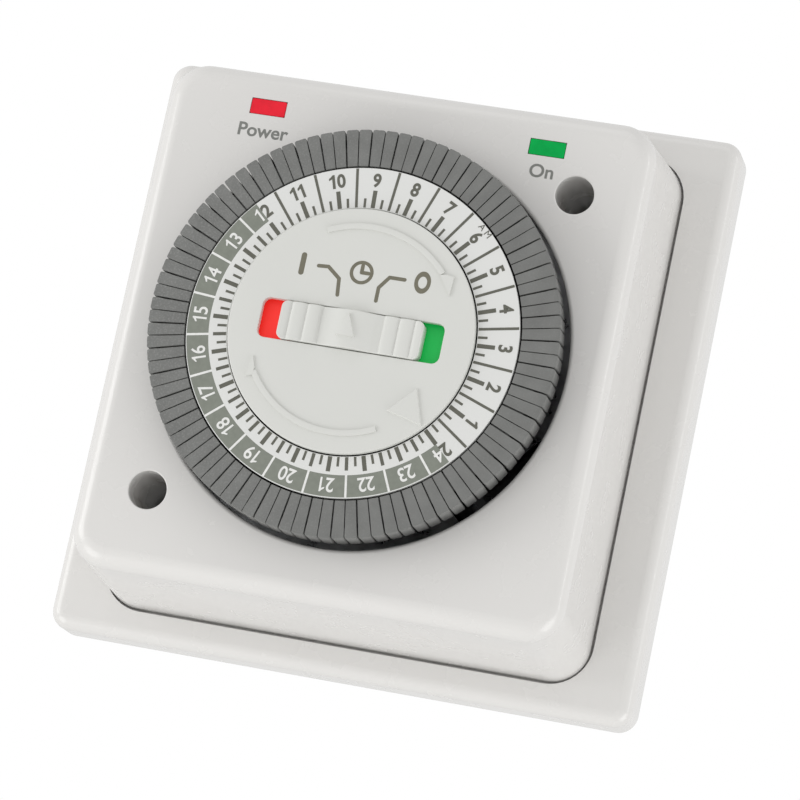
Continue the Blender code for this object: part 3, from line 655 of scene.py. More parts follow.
def make_materials(tones):
    """Every finish of the timer, by name."""
    return {
        "casing white": moulded("casing_white", tones.casing, 0.24, 0.006, 0.0060, 0.0000008, 0.3),
        "disc white": moulded("disc_white", tones.disc, 0.40, 0.012, 0.0004, 0.000004),
        "scale white": moulded("scale_white", tones.scale, 0.46, 0.012, 0.0003, 0.000003),
        "segment grey": dusty("segment_grey", tones.segments, 0.50),
        # a 1.35 times lighter grey for the shoulder and top edges: a painted highlight over light edge wear
        "segment lit edge": dusty("segment_edge_worn", tuple(part * 1.35 for part in tones.segments), 0.40),
        "drum black": moulded("drum_black", (0.012, 0.012, 0.012), 0.42, 0.25, 0.0004, 0.000008),
        "cover black": moulded("cover_black", (0.020, 0.020, 0.021), 0.48, 0.25, 0.0004, 0.000010),
        # the red and green markers glow faintly: painted light that lifts them out of the shade of their
        # window
        "red": moulded("marker_red", tones.red, 0.45, 0.06, 0.0004, 0.000004, painted_glow=0.34),
        "green": moulded("marker_green", tones.green, 0.45, 0.06, 0.0004, 0.000004, painted_glow=0.22),
        "red lens": lens("lens_red", tones.red_lens),
        "green lens": lens("lens_green", tones.green_lens),
        "cream": moulded("gear_cream", (0.72, 0.66, 0.50), 0.42, 0.05, 0.0006, 0.000006),
        "night band": printed("ink_night_band", tones.band),
        "dark ink": printed("ink_dark", tones.dark_ink),
        "olive ink": printed("ink_olive", tones.olive_ink),
        "label ink": printed("ink_label", tones.label_ink),
        "white ink": printed("ink_white", (0.80, 0.80, 0.78)),
        "steel": metal("zinc_plated_steel", (0.56, 0.57, 0.58), 0.30),
        "brass": metal("brass_turned", (0.70, 0.50, 0.20), 0.28),
        "board": printed("board_brown", (0.30, 0.17, 0.07), 0.45),
        "resistor": printed("resistor_lacquer", (0.22, 0.46, 0.60), 0.35),
        "glass": clear_glass("lamp_glass"),
    }


MATERIALS = {}


def finish_of(name):
    if not MATERIALS:
        MATERIALS.update(make_materials(bpy.context.scene.timer_colours))
    return MATERIALS[name]


# ---------------------------------------------------------------- wall plate and casing

def well_places(sizes):
    return [(side * sizes.well_x, side * sizes.well_y) for side in (1, -1)]


def rounded_block(name, size, z, corner, corner_steps=10, edge=0.0, edge_steps=6, draft=(0.0, 0.0)):
    """A block with rounded upright corners and, if wanted, a rounded top edge and drafted sides."""
    obj = centred_block(name, size, z)
    if draft[0] or draft[1]:
        pick(obj, "FACE", at_height(z[1]))
        bpy.ops.transform.resize(value=((size[0] - draft[0]) / size[0], (size[1] - draft[1]) / size[1], 1),
                                 center_override=(0, 0, z[1]))
        object_mode()
    long_enough = (z[1] - z[0]) / 2
    round_off(obj, lambda points: abs(points[0].z - points[1].z) > long_enough, corner, corner_steps)
    if edge:
        round_off(obj, at_height(z[1]), edge, edge_steps)
    return obj


class TIMER_OT_wall_plate(bpy.types.Operator):
    """Square wall plate with a rounded front edge, a hollow ribbed back and a recess for the casing"""
    bl_idname = "timer.wall_plate"
    bl_label = "Wall Plate"

    def execute(self, context):
        sizes = context.scene.timer_body
        size = PLATE_HIGH - PLATE_LOW
        depth, wall = size.z, sizes.plate_wall
        plate = rounded_block("plate_shell", size, (0, depth), sizes.plate_corner, 10, sizes.plate_edge, 7)
        inside = (size.x - 2 * wall, size.y - 2 * wall)
        floor = depth - wall
        combine(plate, "DIFFERENCE", rounded_block("hollow", inside, (-CLEAR, floor), 0.0009, 4))
        ribs = [centred_block("collar", (0.0524, 0.0624), (0.0022, floor + LAP))]
        for side in (-1, 1):
            for offset in (-0.016, 0.016):
                width, heights = (offset - 0.0006, offset + 0.0006), (0.0030, floor + LAP)
                ends = sorted((side * 0.030, side * (inside[1] / 2 + LAP)))
                ribs.append(block("rib", width, ends, heights))
                ends = sorted((side * 0.025, side * (inside[0] / 2 + LAP)))
                ribs.append(block("rib", ends, width, heights))
        combine(plate, "UNION", *ribs)
        bosses = [drum("boss", 0.0045, (0.0005, floor + LAP), place, 40) for place in well_places(sizes)]
        combine(plate, "UNION", *bosses)
        gap = sizes.joint_gap
        casing = CASING_HIGH - CASING_LOW
        recess = rounded_block("recess", (casing.x + 2 * gap, casing.y + 2 * gap),
                               (depth - sizes.recess_depth, depth + CLEAR), sizes.casing_corner + 0.0012, 10)
        cuts = [recess, rounded_block("opening", (0.050, 0.060), (-CLEAR, depth + CLEAR), 0.003, 6)]
        cuts += [drum("hole", sizes.screw_hole, (-CLEAR, depth + CLEAR), place, 32)
                 for place in well_places(sizes)]
        for side in (-1, 1):
            slot = rounded_block("slot", (0.004, 0.008), (0.002, depth + CLEAR), 0.0019, 6)
            slot.location.x = side * sizes.box_fixing / 2
            cuts.append(slot)
        combine(plate, "DIFFERENCE", *cuts)
        hang_up(plate, "root", "white_plastic", "wall_plate", finish="casing white")
        return {"FINISHED"}


class TIMER_OT_front_casing(bpy.types.Operator):
    """Drafted casing with rounded edges, the dial's round opening, two screw wells and two lens windows"""
    bl_idname = "timer.front_casing"
    bl_label = "Front Casing"

    def execute(self, context):
        sizes = context.scene.timer_body
        size = CASING_HIGH - CASING_LOW
        low, face = PLATE_HIGH.z - 0.0016, CASING_HIGH.z
        draft = (sizes.casing_draft_x, sizes.casing_draft_y)
        casing = rounded_block("casing_shell", size, (low, face), sizes.casing_corner, 12,
                               sizes.casing_edge, 8, draft)
        ceiling = face - sizes.casing_wall
        inner = (size.x - 2 * sizes.casing_wall, size.y - 2 * sizes.casing_wall)
        combine(casing, "DIFFERENCE", rounded_block("hollow", inner, (low - CLEAR, ceiling),
                                                    sizes.casing_corner - sizes.casing_wall, 6, draft=draft))
        collar = drum("collar", sizes.opening_radius + 0.0012, (face - 0.0055, ceiling + LAP), sides=144)
        bosses = [drum("boss", 0.0050, (0.0108, ceiling + LAP), place, 48) for place in well_places(sizes)]
        combine(casing, "UNION", collar, *bosses)
        cuts = [flared_cutter("dial opening", sizes.opening_radius, face - 0.008, face, sides=192,
                              rounding=sizes.opening_edge, steps=7)]
        for place in well_places(sizes):
            cuts.append(flared_cutter("well", sizes.well_radius, 0.0150, face, place, 64, 0.00022, 3))
            cuts.append(drum("screw hole", sizes.screw_hole, (0.009, 0.016), place, 32))
        for node in ("power_lens", "on_lens"):
            window_low, window_high = span(node)
            neck_x, neck_y = 0.0009 - 0.00008, 0.0009 * 0.72 - 0.00008
            cuts.append(block("window", (window_low.x + neck_x, window_high.x - neck_x),
                              (window_low.y + neck_y, window_high.y - neck_y),
                              (ceiling - 2 * CLEAR, face + CLEAR)))
        combine(casing, "DIFFERENCE", *cuts)
        hang_up(casing, "root", "white_plastic", "front_casing", finish="casing white")
        return {"FINISHED"}


class TIMER_OT_lenses(bpy.types.Operator):
    """Red and green windows in the casing, with their two printed labels"""
    bl_idname = "timer.lenses"
    bl_label = "Lenses and Labels"

    def execute(self, context):
        face = CASING_HIGH.z
        size = (0.0062, 0.0027)
        for node, colour_name in (("power_lens", "red"), ("on_lens", "green")):
            low, high = span(node)
            middle = middle_of(low, high)
            window = rounded_block(node + "_window", size, (low.z + 0.0003, face + 0.00002), 0.00028, 4,
                                   0.00012, 3)
            flange = centred_block("flange", (high.x - low.x, high.y - low.y), (low.z, low.z + 0.0006))
            combine(window, "UNION", flange)
            window.location = (*middle, 0)
            hang_up(window, "root", f"{colour_name}_lens", node, finish=f"{colour_name} lens")
        labels = []
        for words, place in (("Power", (-0.0247, 0.0339)), ("On", (0.0245, 0.0341))):
            label = lettering(words, 0.00240, (face - SINK, face + 0.000015), 1.03, 0.020)
            label.location = (*place, 0)
            labels.append(label)
        hang_up(joined("casing_labels", labels), "root", "white_plastic", finish="label ink")
        return {"FINISHED"}


def slotted_screw(node, face, tip, head, shank, rim, sides, slot):
    """A steel screw in a node's place: round slotted head at its face, thinner shank to its tip.

    head is the head's height, shank the shank's radius, rim the rounding of the head and its steps,
    and slot half the slot's length, half its width, and its depth."""
    low, high = span(node)
    x, y = middle_of(low, high)
    radius = (high.x - low.x) / 2
    out = 1 if face > tip else -1
    neck = face - out * head
    screw = drum(node + "_turned", radius, sorted((neck, face)), (x, y), sides)
    round_off(screw, at_height(face), *rim)
    pick(screw, "FACE", at_height(neck))
    bpy.ops.mesh.inset(thickness=radius - shank)
    extrude(tip - neck)
    object_mode()
    length, width, depth = slot
    combine(screw, "DIFFERENCE", block("slot", (x - length, x + length), (y - width, y + width),
                                       sorted((face - out * depth, face + out * CLEAR))))
    hang_up(screw, "root", "steel", node, finish="steel")


class TIMER_OT_cover_screws(bpy.types.Operator):
    """Two slotted screws at the bottom of the wells"""
    bl_idname = "timer.cover_screws"
    bl_label = "Cover Screws"

    def execute(self, context):
        for node in ("cover_screw_upper", "cover_screw_lower"):
            low, high = span(node)
            slotted_screw(node, high.z, low.z, head=0.0020, shank=0.0016, rim=(0.0006, 4), sides=48,
                          slot=(0.0035, 0.0004, 0.0009))
        return {"FINISHED"}


# ---------------------------------------------------------------- dial

# the third finish, drum black, goes on the grey legs as painted shade in the dark gap under the skirts
SEGMENT_FINISHES = ("segment grey", "segment lit edge", "drum black")       # in the order of their slots
LIT_EDGE_SLOT, SHADED_LEG_SLOT = 1, 2


def segment_pattern(sizes):
    """One segment on the X axis: top plate with a rounded shoulder, a short skirt and a thin leg; the
    shoulder and top edges take a lighter finish as a painted highlight, and the leg is painted black as
    shade.
    """
    top, under, foot = SEGMENTS_HIGH.z, SEGMENTS_HIGH.z - sizes.segment_plate, sizes.skirt_foot
    inner, outer = sizes.segment_inner, max(SEGMENTS_HIGH.x, -SEGMENTS_LOW.x)
    skirt, leg = outer - sizes.skirt_wall, outer - sizes.skirt_wall / 2
    pattern = block("segment", (inner, outer), (-0.5, 0.5), (under, top))
    for x in (skirt, leg):
        bisect(pattern, (x, 0, 0), (1, 0, 0))
    pick(pattern, "FACE", lambda points: all(same(p.z, under) and p.x > skirt - HAIR for p in points))
    extrude(foot - under)
    object_mode()
    half = pi / QUARTERS - sizes.segment_slit / 2
    for vert in pattern.data.vertices:
        vert.co.y *= 2 * vert.co.x * tan(half)
    pick(pattern, "FACE", lambda points: all(same(p.z, foot) and p.x < leg + HAIR for p in points))
    bpy.ops.mesh.inset(thickness=sizes.leg_inset)
    extrude(SEGMENTS_LOW.z + SINK - foot)
    object_mode()
    # painted shade: the legs below the skirt take the black of the drum
    for face in pattern.data.polygons:
        if all(pattern.data.vertices[index].co.z < foot + HAIR for index in face.vertices):
            face.material_index = SHADED_LEG_SLOT

    def skirt_corner(points):
        a, b = points
        return min(a.x, b.x) > leg + HAIR and a.y * b.y > 0 and abs(a.z - b.z) > 0.0005

    def outer_end(points):
        a, b = points
        across = same(a.y, -b.y)
        at_end = min(a.x, b.x) >= outer - 0.0001
        return all(same(p.z, top) and p.x > outer - 0.00045 for p in points) and (at_end or not across)

    def plate_edge(points):
        a, b = points
        inside = all(same(p.z, top) and p.x < outer - sizes.shoulder + HAIR for p in points)
        return inside and (a.y * b.y > 0 or all(same(p.x, inner) for p in points))

    round_off(pattern, skirt_corner, 0.00032, 3)
    # the rounded shoulder and top edges take the lighter finish: a painted highlight
    round_off(pattern, outer_end, sizes.shoulder, 6, LIT_EDGE_SLOT)
    round_off(pattern, plate_edge, 0.00010, 2, LIT_EDGE_SLOT)
    return pattern


def quarter_angle(sizes, number):
    return sizes.midnight + (number + 0.5) * 2 * pi / QUARTERS


class TIMER_OT_segments(bpy.types.Operator):
    """96 push-down segments: 88 that stay put, as one piece, and eight that slide"""
    bl_idname = "timer.segments"
    bl_label = "Dial Segments"

    def execute(self, context):
        sizes = context.scene.timer_dial
        chance = random.Random(24)
        pattern = segment_pattern(sizes)
        give_finishes(pattern, *SEGMENT_FINISHES)
        places = []
        for number in range(QUARTERS):
            pairing = sizes.segment_shake * 0.6 * (1 if number % 2 else -1)
            shake = sizes.segment_shake * 0.4 * chance.uniform(-1, 1)
            places.append((0, 0, quarter_angle(sizes, number) + pairing + shake))
        copies = copies_at(pattern, places)
        loose = range(FIRST_LOOSE_QUARTER, FIRST_LOOSE_QUARTER + LOOSE_SEGMENTS)
        for number, copy in enumerate(copies):
            copy.location.z = -0.00006 * chance.random()
        fixed = [copy for number, copy in enumerate(copies) if number not in loose]
        tie = arc_bar("tie", 0.0290, 0.0325, (SEGMENTS_HIGH.z - 0.0013, SEGMENTS_HIGH.z - 0.0009),
                      quarter_angle(sizes, loose[-1] + 1) - 0.01,
                      (QUARTERS - LOOSE_SEGMENTS - 1) * 2 * pi / QUARTERS + 0.02, 176)
        give_finishes(tie, *SEGMENT_FINISHES)
        ring = joined("dial_segments_fixed", [tie, *fixed])
        hang_up(ring, "dial", "grey_plastic", "segment_ring", smooth=40)
        for label, number in enumerate(loose, 1):
            piece = joined(f"dial_segment_loose_{label}", [copies[number]])
            hang_up(piece, f"segment_{label}", "grey_plastic", f"segment_{label}", smooth=40)
        return {"FINISHED"}


HOUR_TICK, QUARTER_TICK = 0.00072, 0.00042                    # widths of the marks
DAY_LINE, NIGHT_LINE, WHITE_LINE = 0.00046, 0.00056, 0.00038
DAY_TICK_END, NIGHT_TICK_END = 0.02455, 0.02405               # radii where the marks end
QUARTER_TICK_END, NIGHT_LINE_END = 0.02310, 0.02375
MORNING_SHIFT = 0.00035                                       # the 6 stands in, to leave room for its sign
MORNING_SIGN_RADIUS = 0.02784


def radial_bar(width, inner, outer, z):
    """A straight mark on the X axis, from one radius to another."""
    return block("mark", (inner, outer), (-width / 2, width / 2), z)


def hour_angle(sizes, hour):
    return sizes.midnight + hour * 2 * pi / HOURS


def stand_at_hour(obj, angle, radius):
    obj.location = (radius * cos(angle), radius * sin(angle), 0)
    obj.rotation_euler.z = angle - pi / 2


class TIMER_OT_scale(bpy.types.Operator):
    """Scale ring with its grey night half, hour, half and quarter marks, and 24 numerals"""
    bl_idname = "timer.scale"
    bl_label = "Scale Ring"

    def execute(self, context):
        sizes = context.scene.timer_dial
        inner, outer, top = sizes.scale_inner, SCALE_HIGH.x, SCALE_HIGH.z
        ring = arc_bar("scale_ring_moulded", inner, outer, (SCALE_LOW.z, top), steps=192)
        round_off(ring, rim_at(top), 0.00012, 3)
        hang_up(ring, "dial", "printed_white_plastic", "scale_ring", finish="scale white")

        def layer(number):
            return top - SINK, top + 0.000008 * number

        edge = outer - 0.00014
        band = arc_bar("scale_night_band", sizes.band_inner, edge, layer(1), hour_angle(sizes, NOON), pi, 96)
        hang_up(band, "dial", "printed_white_plastic", finish="night band")

        marks = {"dark": [], "white": []}
        hours = [(0, 0, hour_angle(sizes, hour)) for hour in range(HOURS)]
        halves = [(0, 0, hour_angle(sizes, hour + 0.5)) for hour in range(HOURS)]
        quarters = [(0, 0, hour_angle(sizes, hour + part)) for hour in range(HOURS) for part in (0.25, 0.75)]
        start = inner + 0.00014
        for ink, width, low, high, level, places in (
                ("dark", HOUR_TICK, start, DAY_TICK_END, 2, hours[:NOON]),
                ("dark", HOUR_TICK, start, NIGHT_TICK_END, 2, hours[NOON:]),
                ("dark", QUARTER_TICK, start, QUARTER_TICK_END, 2, quarters),
                ("dark", DAY_LINE, start, edge, 3, halves[:NOON]),
                ("dark", NIGHT_LINE, start, NIGHT_LINE_END, 3, halves[NOON:]),
                ("white", WHITE_LINE, sizes.band_inner - SINK, edge, 3, halves[NOON:])):
            marks[ink] += copies_at(radial_bar(width, low, high, layer(level)), places)
        for hour in range(1, HOURS + 1):
            night = hour > NOON and hour < HOURS
            radius = sizes.numeral_radius - (MORNING_SHIFT if hour == MORNING else 0)
            for ink in ("dark", "white"):
                if hour in (NOON, HOURS) or (ink == "white") == night:
                    weight = sizes.bold if ink == "dark" else sizes.bold * 0.45
                    numeral = number(hour, sizes.numeral_height, layer(4), weight,
                                     0.19 if ink == "dark" else 0.14, sizes.numeral_pitch)
                    if hour in (NOON, HOURS):
                        keep_side(numeral, (hour == NOON) == (ink == "white"))
                    stand_at_hour(numeral, hour_angle(sizes, hour), radius)
                    marks[ink].append(numeral)
        day = lettering("A M", 0.00108, layer(4), 1.02)
        stand_at_hour(day, hour_angle(sizes, MORNING), MORNING_SIGN_RADIUS)
        marks["dark"].append(day)
        for ink, pieces in marks.items():
            piece = joined(f"scale_print_{ink}", pieces)
            hang_up(piece, "dial", "printed_white_plastic", finish=f"{ink} ink")
        return {"FINISHED"}


def keep_side(obj, left):
    """Keeps the half of a numeral on the left or right of its middle."""
    pick(obj, "FACE", everywhere)
    bpy.ops.mesh.bisect(plane_co=(0, 0, 0), plane_no=(1, 0, 0), use_fill=True,
                        clear_outer=left, clear_inner=not left)
    object_mode()


# ---------------------------------------------------------------- centre disc and slider

def raised_arrow(name, inner, outer, start, sweep, head, ground):
    """A raised arc, clockwise from its tail, that ends in a one-sided arrow head."""
    z = (ground - SINK, ground + 0.00030)
    bar = arc_bar(name, inner, outer, z, start - sweep, sweep, 48)
    combine(bar, "UNION", flat_prism("head", head, (z[0] + 0.00001, z[1] + 0.00001)))
    round_off(bar, lambda points: all(p.z > ground + 0.0001 for p in points)
              and max(p.z for p in points) - min(p.z for p in points) < 0.00003
              and edge_is_outline(points, inner, outer), 0.00022, 3)
    return bar


def draw_in(obj, height, share):
    """Slopes a raised mark's sides by drawing its top in towards its own middle."""
    pick(obj, "FACE", at_height(height))
    points = [vert.co for vert in obj.data.vertices if same(vert.co.z, height)]
    middle = sum(points, Vector()) / len(points)
    bpy.ops.transform.resize(value=(share, share, 1), center_override=middle)
    object_mode()


def edge_is_outline(points, inner, outer):
    """True for an edge on the arc's own sides, which are the only ones rounded."""
    reach = [hypot(p.x, p.y) for p in points]
    return all(abs(r - inner) < 0.00002 for r in reach) or all(abs(r - outer) < 0.00002 for r in reach)


class TIMER_OT_centre_disc(bpy.types.Operator):
    """Fixed disc with the slider's window, raised turning arrows, a raised pointer and printed signs"""
    bl_idname = "timer.centre_disc"
    bl_label = "Centre Disc"

    def execute(self, context):
        top = DISC_HIGH.z
        radius = DISC_HIGH.x
        low = top - 0.0012
        disc = drum("disc_moulded", radius, (low, top), sides=192)
        round_off(disc, rim_at(top), 0.00022, 4)
        rails = [block("rail", (-0.0170, 0.0170), sorted((side * 0.0049, side * 0.0061)),
                       (DISC_LOW.z, low + 0.0002)) for side in (-1, 1)]
        combine(disc, "UNION", *rails)
        window = rounded_block("window", (0.0316, 0.0069), (low - 2 * CLEAR, top + CLEAR), 0.0013, 8)
        combine(disc, "DIFFERENCE", window)
        round_off(disc, lambda points: all(same(p.z, top) and abs(p.x) < 0.0159 and abs(p.y) < 0.0036
                                           for p in points), 0.00014, 3)
        upper = raised_arrow("upper", 0.01750, 0.01845, radians(114.6), radians(73.2),
                             [(0.01310, 0.01160), (0.01535, 0.00831), (0.01554, 0.01163),
                              (0.01420, 0.01180)], top)
        lower = raised_arrow("lower", 0.01715, 0.01810, radians(-64.0), radians(83.5),
                             [(-0.01480, -0.00890), (-0.01547, -0.00690), (-0.01600, -0.01050),
                              (-0.01490, -0.01020)], top)
        raised = top + 0.00036
        pointer = flat_prism("pointer", [(0.01531, -0.01420), (0.01328, -0.00783), (0.00877, -0.01252)],
                             (top - SINK, raised))
        draw_in(pointer, raised, 0.90)
        disc = joined("disc_moulded", [disc, upper, lower, pointer])
        hang_up(disc, "root", "white_plastic", "centre_disc", finish="disc white")

        strokes = [
            [(-0.0105, 0.0085), (-0.0105, 0.0115)],
            [(-0.0077, 0.01005), (-0.0060, 0.01015), (-0.0038, 0.0084), (-0.0035, 0.0056)],
            [(0.0073, 0.0099), (0.0047, 0.0099), (0.0032, 0.0079), (0.0032, 0.0056)],
            [(-0.0002, 0.0112), (-0.0002, 0.0100), (0.0010, 0.0100)],
        ]
        signs = []
        for stroke in strokes:
            for a, b in zip(stroke, stroke[1:]):
                rise = 0.000012 + 0.0000005 * len(signs)
                width = 0.00092 if len(signs) == 0 else 0.00064
                signs.append(bar_between("stroke", a, b, width, (top - SINK, top + rise)))
        face = arc_bar("clock", 0.00146, 0.00204, (top - SINK, top + 0.000022), steps=48)
        face.location = (-0.0002, 0.0100, 0)
        nought = arc_bar("nought", 0.00100, 0.00184, (top - SINK, top + 0.000022), steps=48)
        pick(nought, "VERT", everywhere)
        bpy.ops.transform.resize(value=(0.76, 1.04, 1.0), center_override=(0, 0, top))
        object_mode()
        nought.location = (0.0104, 0.0099, 0)
        hang_up(joined("disc_signs", [*signs, face, nought]), "root", "white_plastic",
                finish="olive ink")
        return {"FINISHED"}


ARROW_LEFT, ARROW_RIGHT = -0.00225, 0.00135                   # X of the raised triangle's base corners


def thumb_height(x, sizes, arch_top):
    """Height of the thumb's top over the bench: an arched middle, and three pillowed ribs at each end."""
    rib_start, rib = sizes.rib_start, sizes.rib_pitch
    if abs(x) < rib_start:
        return sizes.rib_height + (arch_top - sizes.rib_height) * (1 + cos(pi * x / rib_start)) / 2
    across = ((abs(x) - rib_start) / rib) % 1.0
    return sizes.rib_height + sizes.rib_rise * (1 - (2 * across - 1) ** 2) ** 0.5


class TIMER_OT_slider(bpy.types.Operator):
    """Override slider with an arched, ribbed thumb, and the red and green grounds it covers"""
    bl_idname = "timer.slider"
    bl_label = "Override Slider"

    def execute(self, context):
        sizes = context.scene.timer_slider
        low, high = THUMB_LOW, THUMB_HIGH
        half_x, half_y, corner = sizes.half_length, sizes.half_width, sizes.corner
        foot, crest = low.z + 0.0002, high.z - 0.0005
        thumb = rounded_block("slider_thumb", (2 * half_x, 2 * half_y), (foot, crest), corner, 6)
        steps = [part * sizes.rib_start / 16 for part in range(17)]
        steps += [sizes.rib_start + sizes.rib_pitch * (rib + (1 - cos(pi * part / 12)) / 2)
                  for rib in range(3) for part in range(1, 13)]
        stations = [side * step for side in (-1, 1) for step in steps if 0 < step < half_x - 0.0001]
        for x in stations:
            bisect(thumb, (x, 0, 0), (1, 0, 0))
        for vert in thumb.data.vertices:
            if vert.co.z > foot + HAIR:
                vert.co.z = thumb_height(vert.co.x, sizes, crest)
        round_off(thumb, lambda points: all(p.z > foot + HAIR for p in points)
                  and on_outline(points, half_x, half_y, corner), 0.00022, 3)
        arrow = flat_prism("arrow", [((ARROW_LEFT + ARROW_RIGHT) / 2, 0.0029), (ARROW_LEFT, -0.0015),
                                     (ARROW_RIGHT, -0.0015)], (crest - 0.0008, crest + CLEAR))
        draw_in(arrow, crest + CLEAR, 0.84)
        for x in stations:
            if ARROW_LEFT + 0.00005 < x < ARROW_RIGHT - 0.00005:
                bisect(arrow, (x, 0, 0), (1, 0, 0))
        for vert in arrow.data.vertices:
            if vert.co.z > crest:
                vert.co.z = thumb_height(vert.co.x, sizes, crest) + sizes.mark_rise
        flange = centred_block("flange", (0.0200, 0.0092), (low.z, low.z + 0.0004))
        piece = joined("slider_thumb", [thumb, arrow, flange])
        hang_up(piece, "override", "white_plastic", "override_thumb", finish="disc white", smooth=50)
        for finish in ("red", "green"):
            node = f"{finish}_marker"
            marker_low, marker_high = span(node)
            marker = block(node + "_ground", *zip(marker_low, marker_high))
            round_off(marker, at_height(marker_high.z), 0.00015, 2)
            hang_up(marker, "root", f"{finish}_plastic", node, finish=finish)
        return {"FINISHED"}


def on_outline(points, half_x, half_y, corner):
    """True for an edge along the thumb's outline, seen from above."""
    def out(p):
        if abs(p.y) > half_y - HAIR or abs(p.x) > half_x - HAIR:
            return True
        return abs(p.x) > half_x - corner - HAIR and abs(p.y) > half_y - corner - HAIR
    a, b = points
    return out(a) and out(b) and not (a.y * b.y < 0 and abs(a.x) < half_x - HAIR)


# ---------------------------------------------------------------- back and insides

class TIMER_OT_terminals(bpy.types.Operator):
    """Terminal block with four brass clamps and their screws, and the module's rear cover"""
    bl_idname = "timer.terminals"
    bl_label = "Terminals and Rear Cover"

    def execute(self, context):
        low, high = span("terminal_block")
        base = block("terminal_block_moulded", *zip(low, high))
        round_off(base, lambda points: all(same(p.z, low.z) for p in points) or upright(points), 0.0006, 3)
        pockets = []
        for number in range(1, 5):
            clamp_low, clamp_high = span(f"terminal_clamp_{number}")
            x, y = middle_of(clamp_low, clamp_high)
            pockets.append(block("pocket", (x - 0.0036, x + 0.0036), (y - 0.0046, y + 0.0046), (0.0, 0.0070)))
            pockets.append(lying_drum("entry", 0.0018, (low.y - 0.001, y - 0.004), (x, 0.0045)))
            clamp = block(f"terminal_clamp_{number}_sawn", *zip(clamp_low, clamp_high))
            round_off(clamp, everywhere, 0.0003, 2)
            combine(clamp, "DIFFERENCE", lying_drum("bore", 0.0015, (y - 0.006, y + 0.006), (x, 0.0048)),
                    drum("thread", 0.0013, (0.001, 0.0045), (x, y), 32))
            hang_up(clamp, "root", "brass", f"terminal_clamp_{number}", finish="brass")
            screw_low, screw_high = span(f"terminal_screw_{number}")
            slotted_screw(f"terminal_screw_{number}", screw_low.z, screw_high.z, head=0.0010, shank=0.0010,
                          rim=(0.0003, 3), sides=32, slot=(0.003, 0.0003, 0.0005))
        combine(base, "DIFFERENCE", *pockets)
        hang_up(base, "root", "cream_plastic", "terminal_block", finish="cream")

        low, high = span("rear_cover")
        cover = rounded_block("rear_cover_moulded", high - low, (low.z, high.z), 0.0040, 8)
        round_off(cover, at_height(low.z), 0.0003, 2)
        through = (low.z - CLEAR, high.z + CLEAR)
        cuts = [drum("hole", 0.0022, through, place, 32) for place in well_places(context.scene.timer_body)]
        window = rounded_block("window", (0.0300, 0.0080), through, 0.0015, 5)
        window.location.y = 0.0150
        cuts.append(window)
        for row in range(5):
            y = 0.0005 + row * 0.0020
            cuts.append(block("vent", (-0.014, 0.014), (y, y + 0.0009), (low.z - CLEAR, low.z + 0.0009)))
        combine(cover, "DIFFERENCE", *cuts)
        hang_up(cover, "root", "black_plastic", "rear_cover", finish="cover black")
        return {"FINISHED"}


KEPT_NODES = {
    "drum black": ["dial_drum", "microswitch_body"],
    "cream": ["dial_gear", "idler_wheel", "idler_pinion", "centre_post", "override_stem"],
    "cover black": ["switch_lever"],
    "steel": ["movement_plate", "motor_can", "motor_flange", "idler_axle", "dial_clip", "lever_pin",
              "lever_bracket", "motor_shaft"],
    "brass": ["motor_pinion", *(f"plate_pillar_{number}" for number in range(1, 5)),
              *(f"switch_tab_{number}" for number in range(1, 4))],
    "red": ["switch_plunger"],
    "board": ["lamp_board"],
    "glass": ["power_lamp", "on_lamp"],
    "resistor": ["power_resistor", "on_resistor"],
}


class TIMER_OT_kept_nodes(bpy.types.Operator):
    """Gives the movement, the switch and the lamps, whose shapes come with the frame, their finishes"""
    bl_idname = "timer.kept_nodes"
    bl_label = "Movement Finishes"

    def execute(self, context):
        for finish, names in KEPT_NODES.items():
            for name in names:
                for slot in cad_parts[name].material_slots:
                    slot.material = finish_of(finish)
        return {"FINISHED"}


# ---------------------------------------------------------------- stage

FLOOR_HEIGHT = -0.90
LIGHT_PLACES = {
    "left_light": (-0.90, -0.45, 0.0),
    "low_left_light": (-0.60, -0.45, -0.65),
    "low_right_light": (0.72, -0.16, -0.55),
    "right_strip": (0.90, -0.15, 0.12),
    "top_light": (0.0, -0.45, 0.90),
}
LIGHT_TARGET = (0, -0.03, 0)
LIGHT_SIZE = 0.6
STRIP_SIZE = (0.04, 0.9)
CAMERA_PLACE = (0.1709, -0.6969, -0.1450)
CAMERA_TURN = (101.590, -11.753, 11.411)         # degrees


def soft_light(name, place, power):
    deselect_all()
    bpy.ops.object.light_add(type="AREA", location=place)
    light = bpy.context.object
    light.name = name
    light.data.shape = "DISK"
    light.data.size = LIGHT_SIZE
    light.data.energy = power
    light.visible_camera = False
    light.rotation_euler = (Vector(LIGHT_TARGET) - light.location).to_track_quat("-Z", "Y").to_euler()


def light_room(scene, strength):
    """Even white light from all round, behind a plain white backdrop."""
    world = bpy.data.worlds.new("room")
    world.use_nodes = True
    scene.world = world
    nodes, links = world.node_tree.nodes, world.node_tree.links
    nodes.clear()
    output, mix = nodes.new("ShaderNodeOutputWorld"), nodes.new("ShaderNodeMixShader")
    seen = nodes.new("ShaderNodeLightPath")
    links.new(seen.outputs["Is Camera Ray"], mix.inputs["Fac"])
    for socket, brightness in ((1, strength), (2, 1.0)):
        background = nodes.new("ShaderNodeBackground")
        background.inputs["Color"].default_value = (1.0, 1.0, 1.0, 1.0)
        background.inputs["Strength"].default_value = brightness
        links.new(background.outputs["Background"], mix.inputs[socket])
    links.new(mix.outputs["Shader"], output.inputs["Surface"])


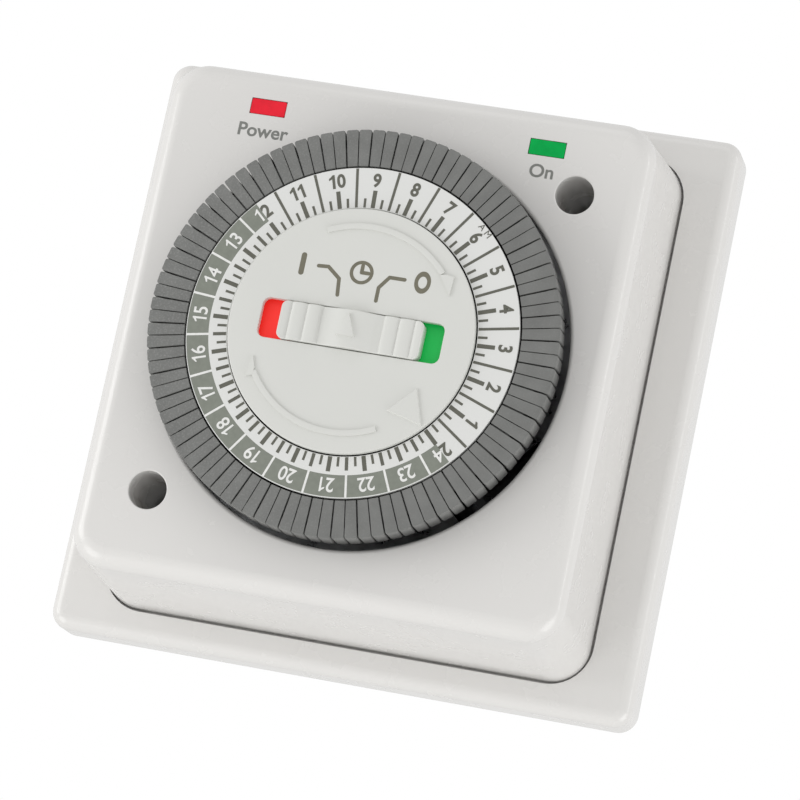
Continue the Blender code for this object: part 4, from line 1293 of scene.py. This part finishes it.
class TIMER_OT_stage(bpy.types.Operator):
    """Plain pale floor, even room light, soft lights and the camera"""
    bl_idname = "timer.stage"
    bl_label = "Stage"

    def execute(self, context):
        settings = context.scene.timer_stage
        deselect_all()
        bpy.ops.mesh.primitive_plane_add(size=6, location=(0, 0, FLOOR_HEIGHT))
        floor = bpy.context.object
        floor.name = "floor"
        paint = Finish("floor_paint", 0.7)
        paint.colour_from(paint.ramp(paint.noise(0.5, 3.0), [(0.3, grey(0.80)), (0.7, (0.83, 0.83, 0.82))]))
        floor.data.materials.append(paint.material)

        for name, place in LIGHT_PLACES.items():
            soft_light(name, place, getattr(settings, name))
        strip = bpy.data.objects["right_strip"].data
        strip.shape = "RECTANGLE"
        strip.size, strip.size_y = STRIP_SIZE

        light_room(context.scene, settings.room_light)
        bpy.ops.object.camera_add(location=CAMERA_PLACE, rotation=[radians(angle) for angle in CAMERA_TURN])
        camera = bpy.context.object
        camera.name = "camera"
        camera.data.lens = settings.focal_length
        camera.data.clip_start = 0.01
        context.scene.camera = camera
        context.scene.view_settings.view_transform = "Standard"
        return {"FINISHED"}


# ---------------------------------------------------------------- add-on

STEPS = (TIMER_OT_stage, TIMER_OT_wall_plate, TIMER_OT_front_casing, TIMER_OT_lenses, TIMER_OT_cover_screws,
         TIMER_OT_segments, TIMER_OT_scale, TIMER_OT_centre_disc, TIMER_OT_slider, TIMER_OT_terminals,
         TIMER_OT_kept_nodes)
SETTINGS = {"timer_body": BodySizes, "timer_dial": DialSizes, "timer_slider": SliderSizes,
            "timer_colours": PlasticColours, "timer_stage": StageSettings}


class TIMER_PT_panel(bpy.types.Panel):
    """Lists the timer's pieces and their settings"""
    bl_label = "Segment Timer"
    bl_idname = "TIMER_PT_panel"
    bl_space_type = "VIEW_3D"
    bl_region_type = "UI"
    bl_category = "Timer"

    def draw(self, context):
        for step in STEPS:
            self.layout.operator(step.bl_idname)
        for name, group in SETTINGS.items():
            column = self.layout.box().column()
            for setting in group.__annotations__:
                column.prop(getattr(context.scene, name), setting)


def register():
    for group in SETTINGS.values():
        bpy.utils.register_class(group)
    for name, group in SETTINGS.items():
        setattr(bpy.types.Scene, name, PointerProperty(type=group))
    for step in (*STEPS, TIMER_PT_panel):
        bpy.utils.register_class(step)


def unregister():
    for step in (TIMER_PT_panel, *reversed(STEPS)):
        bpy.utils.unregister_class(step)
    for name, group in SETTINGS.items():
        delattr(bpy.types.Scene, name)
        bpy.utils.unregister_class(group)


def main():
    register()
    for step in STEPS:
        group, name = step.bl_idname.split(".")
        getattr(getattr(bpy.ops, group), name)()


if __name__ == "__main__":
    main()
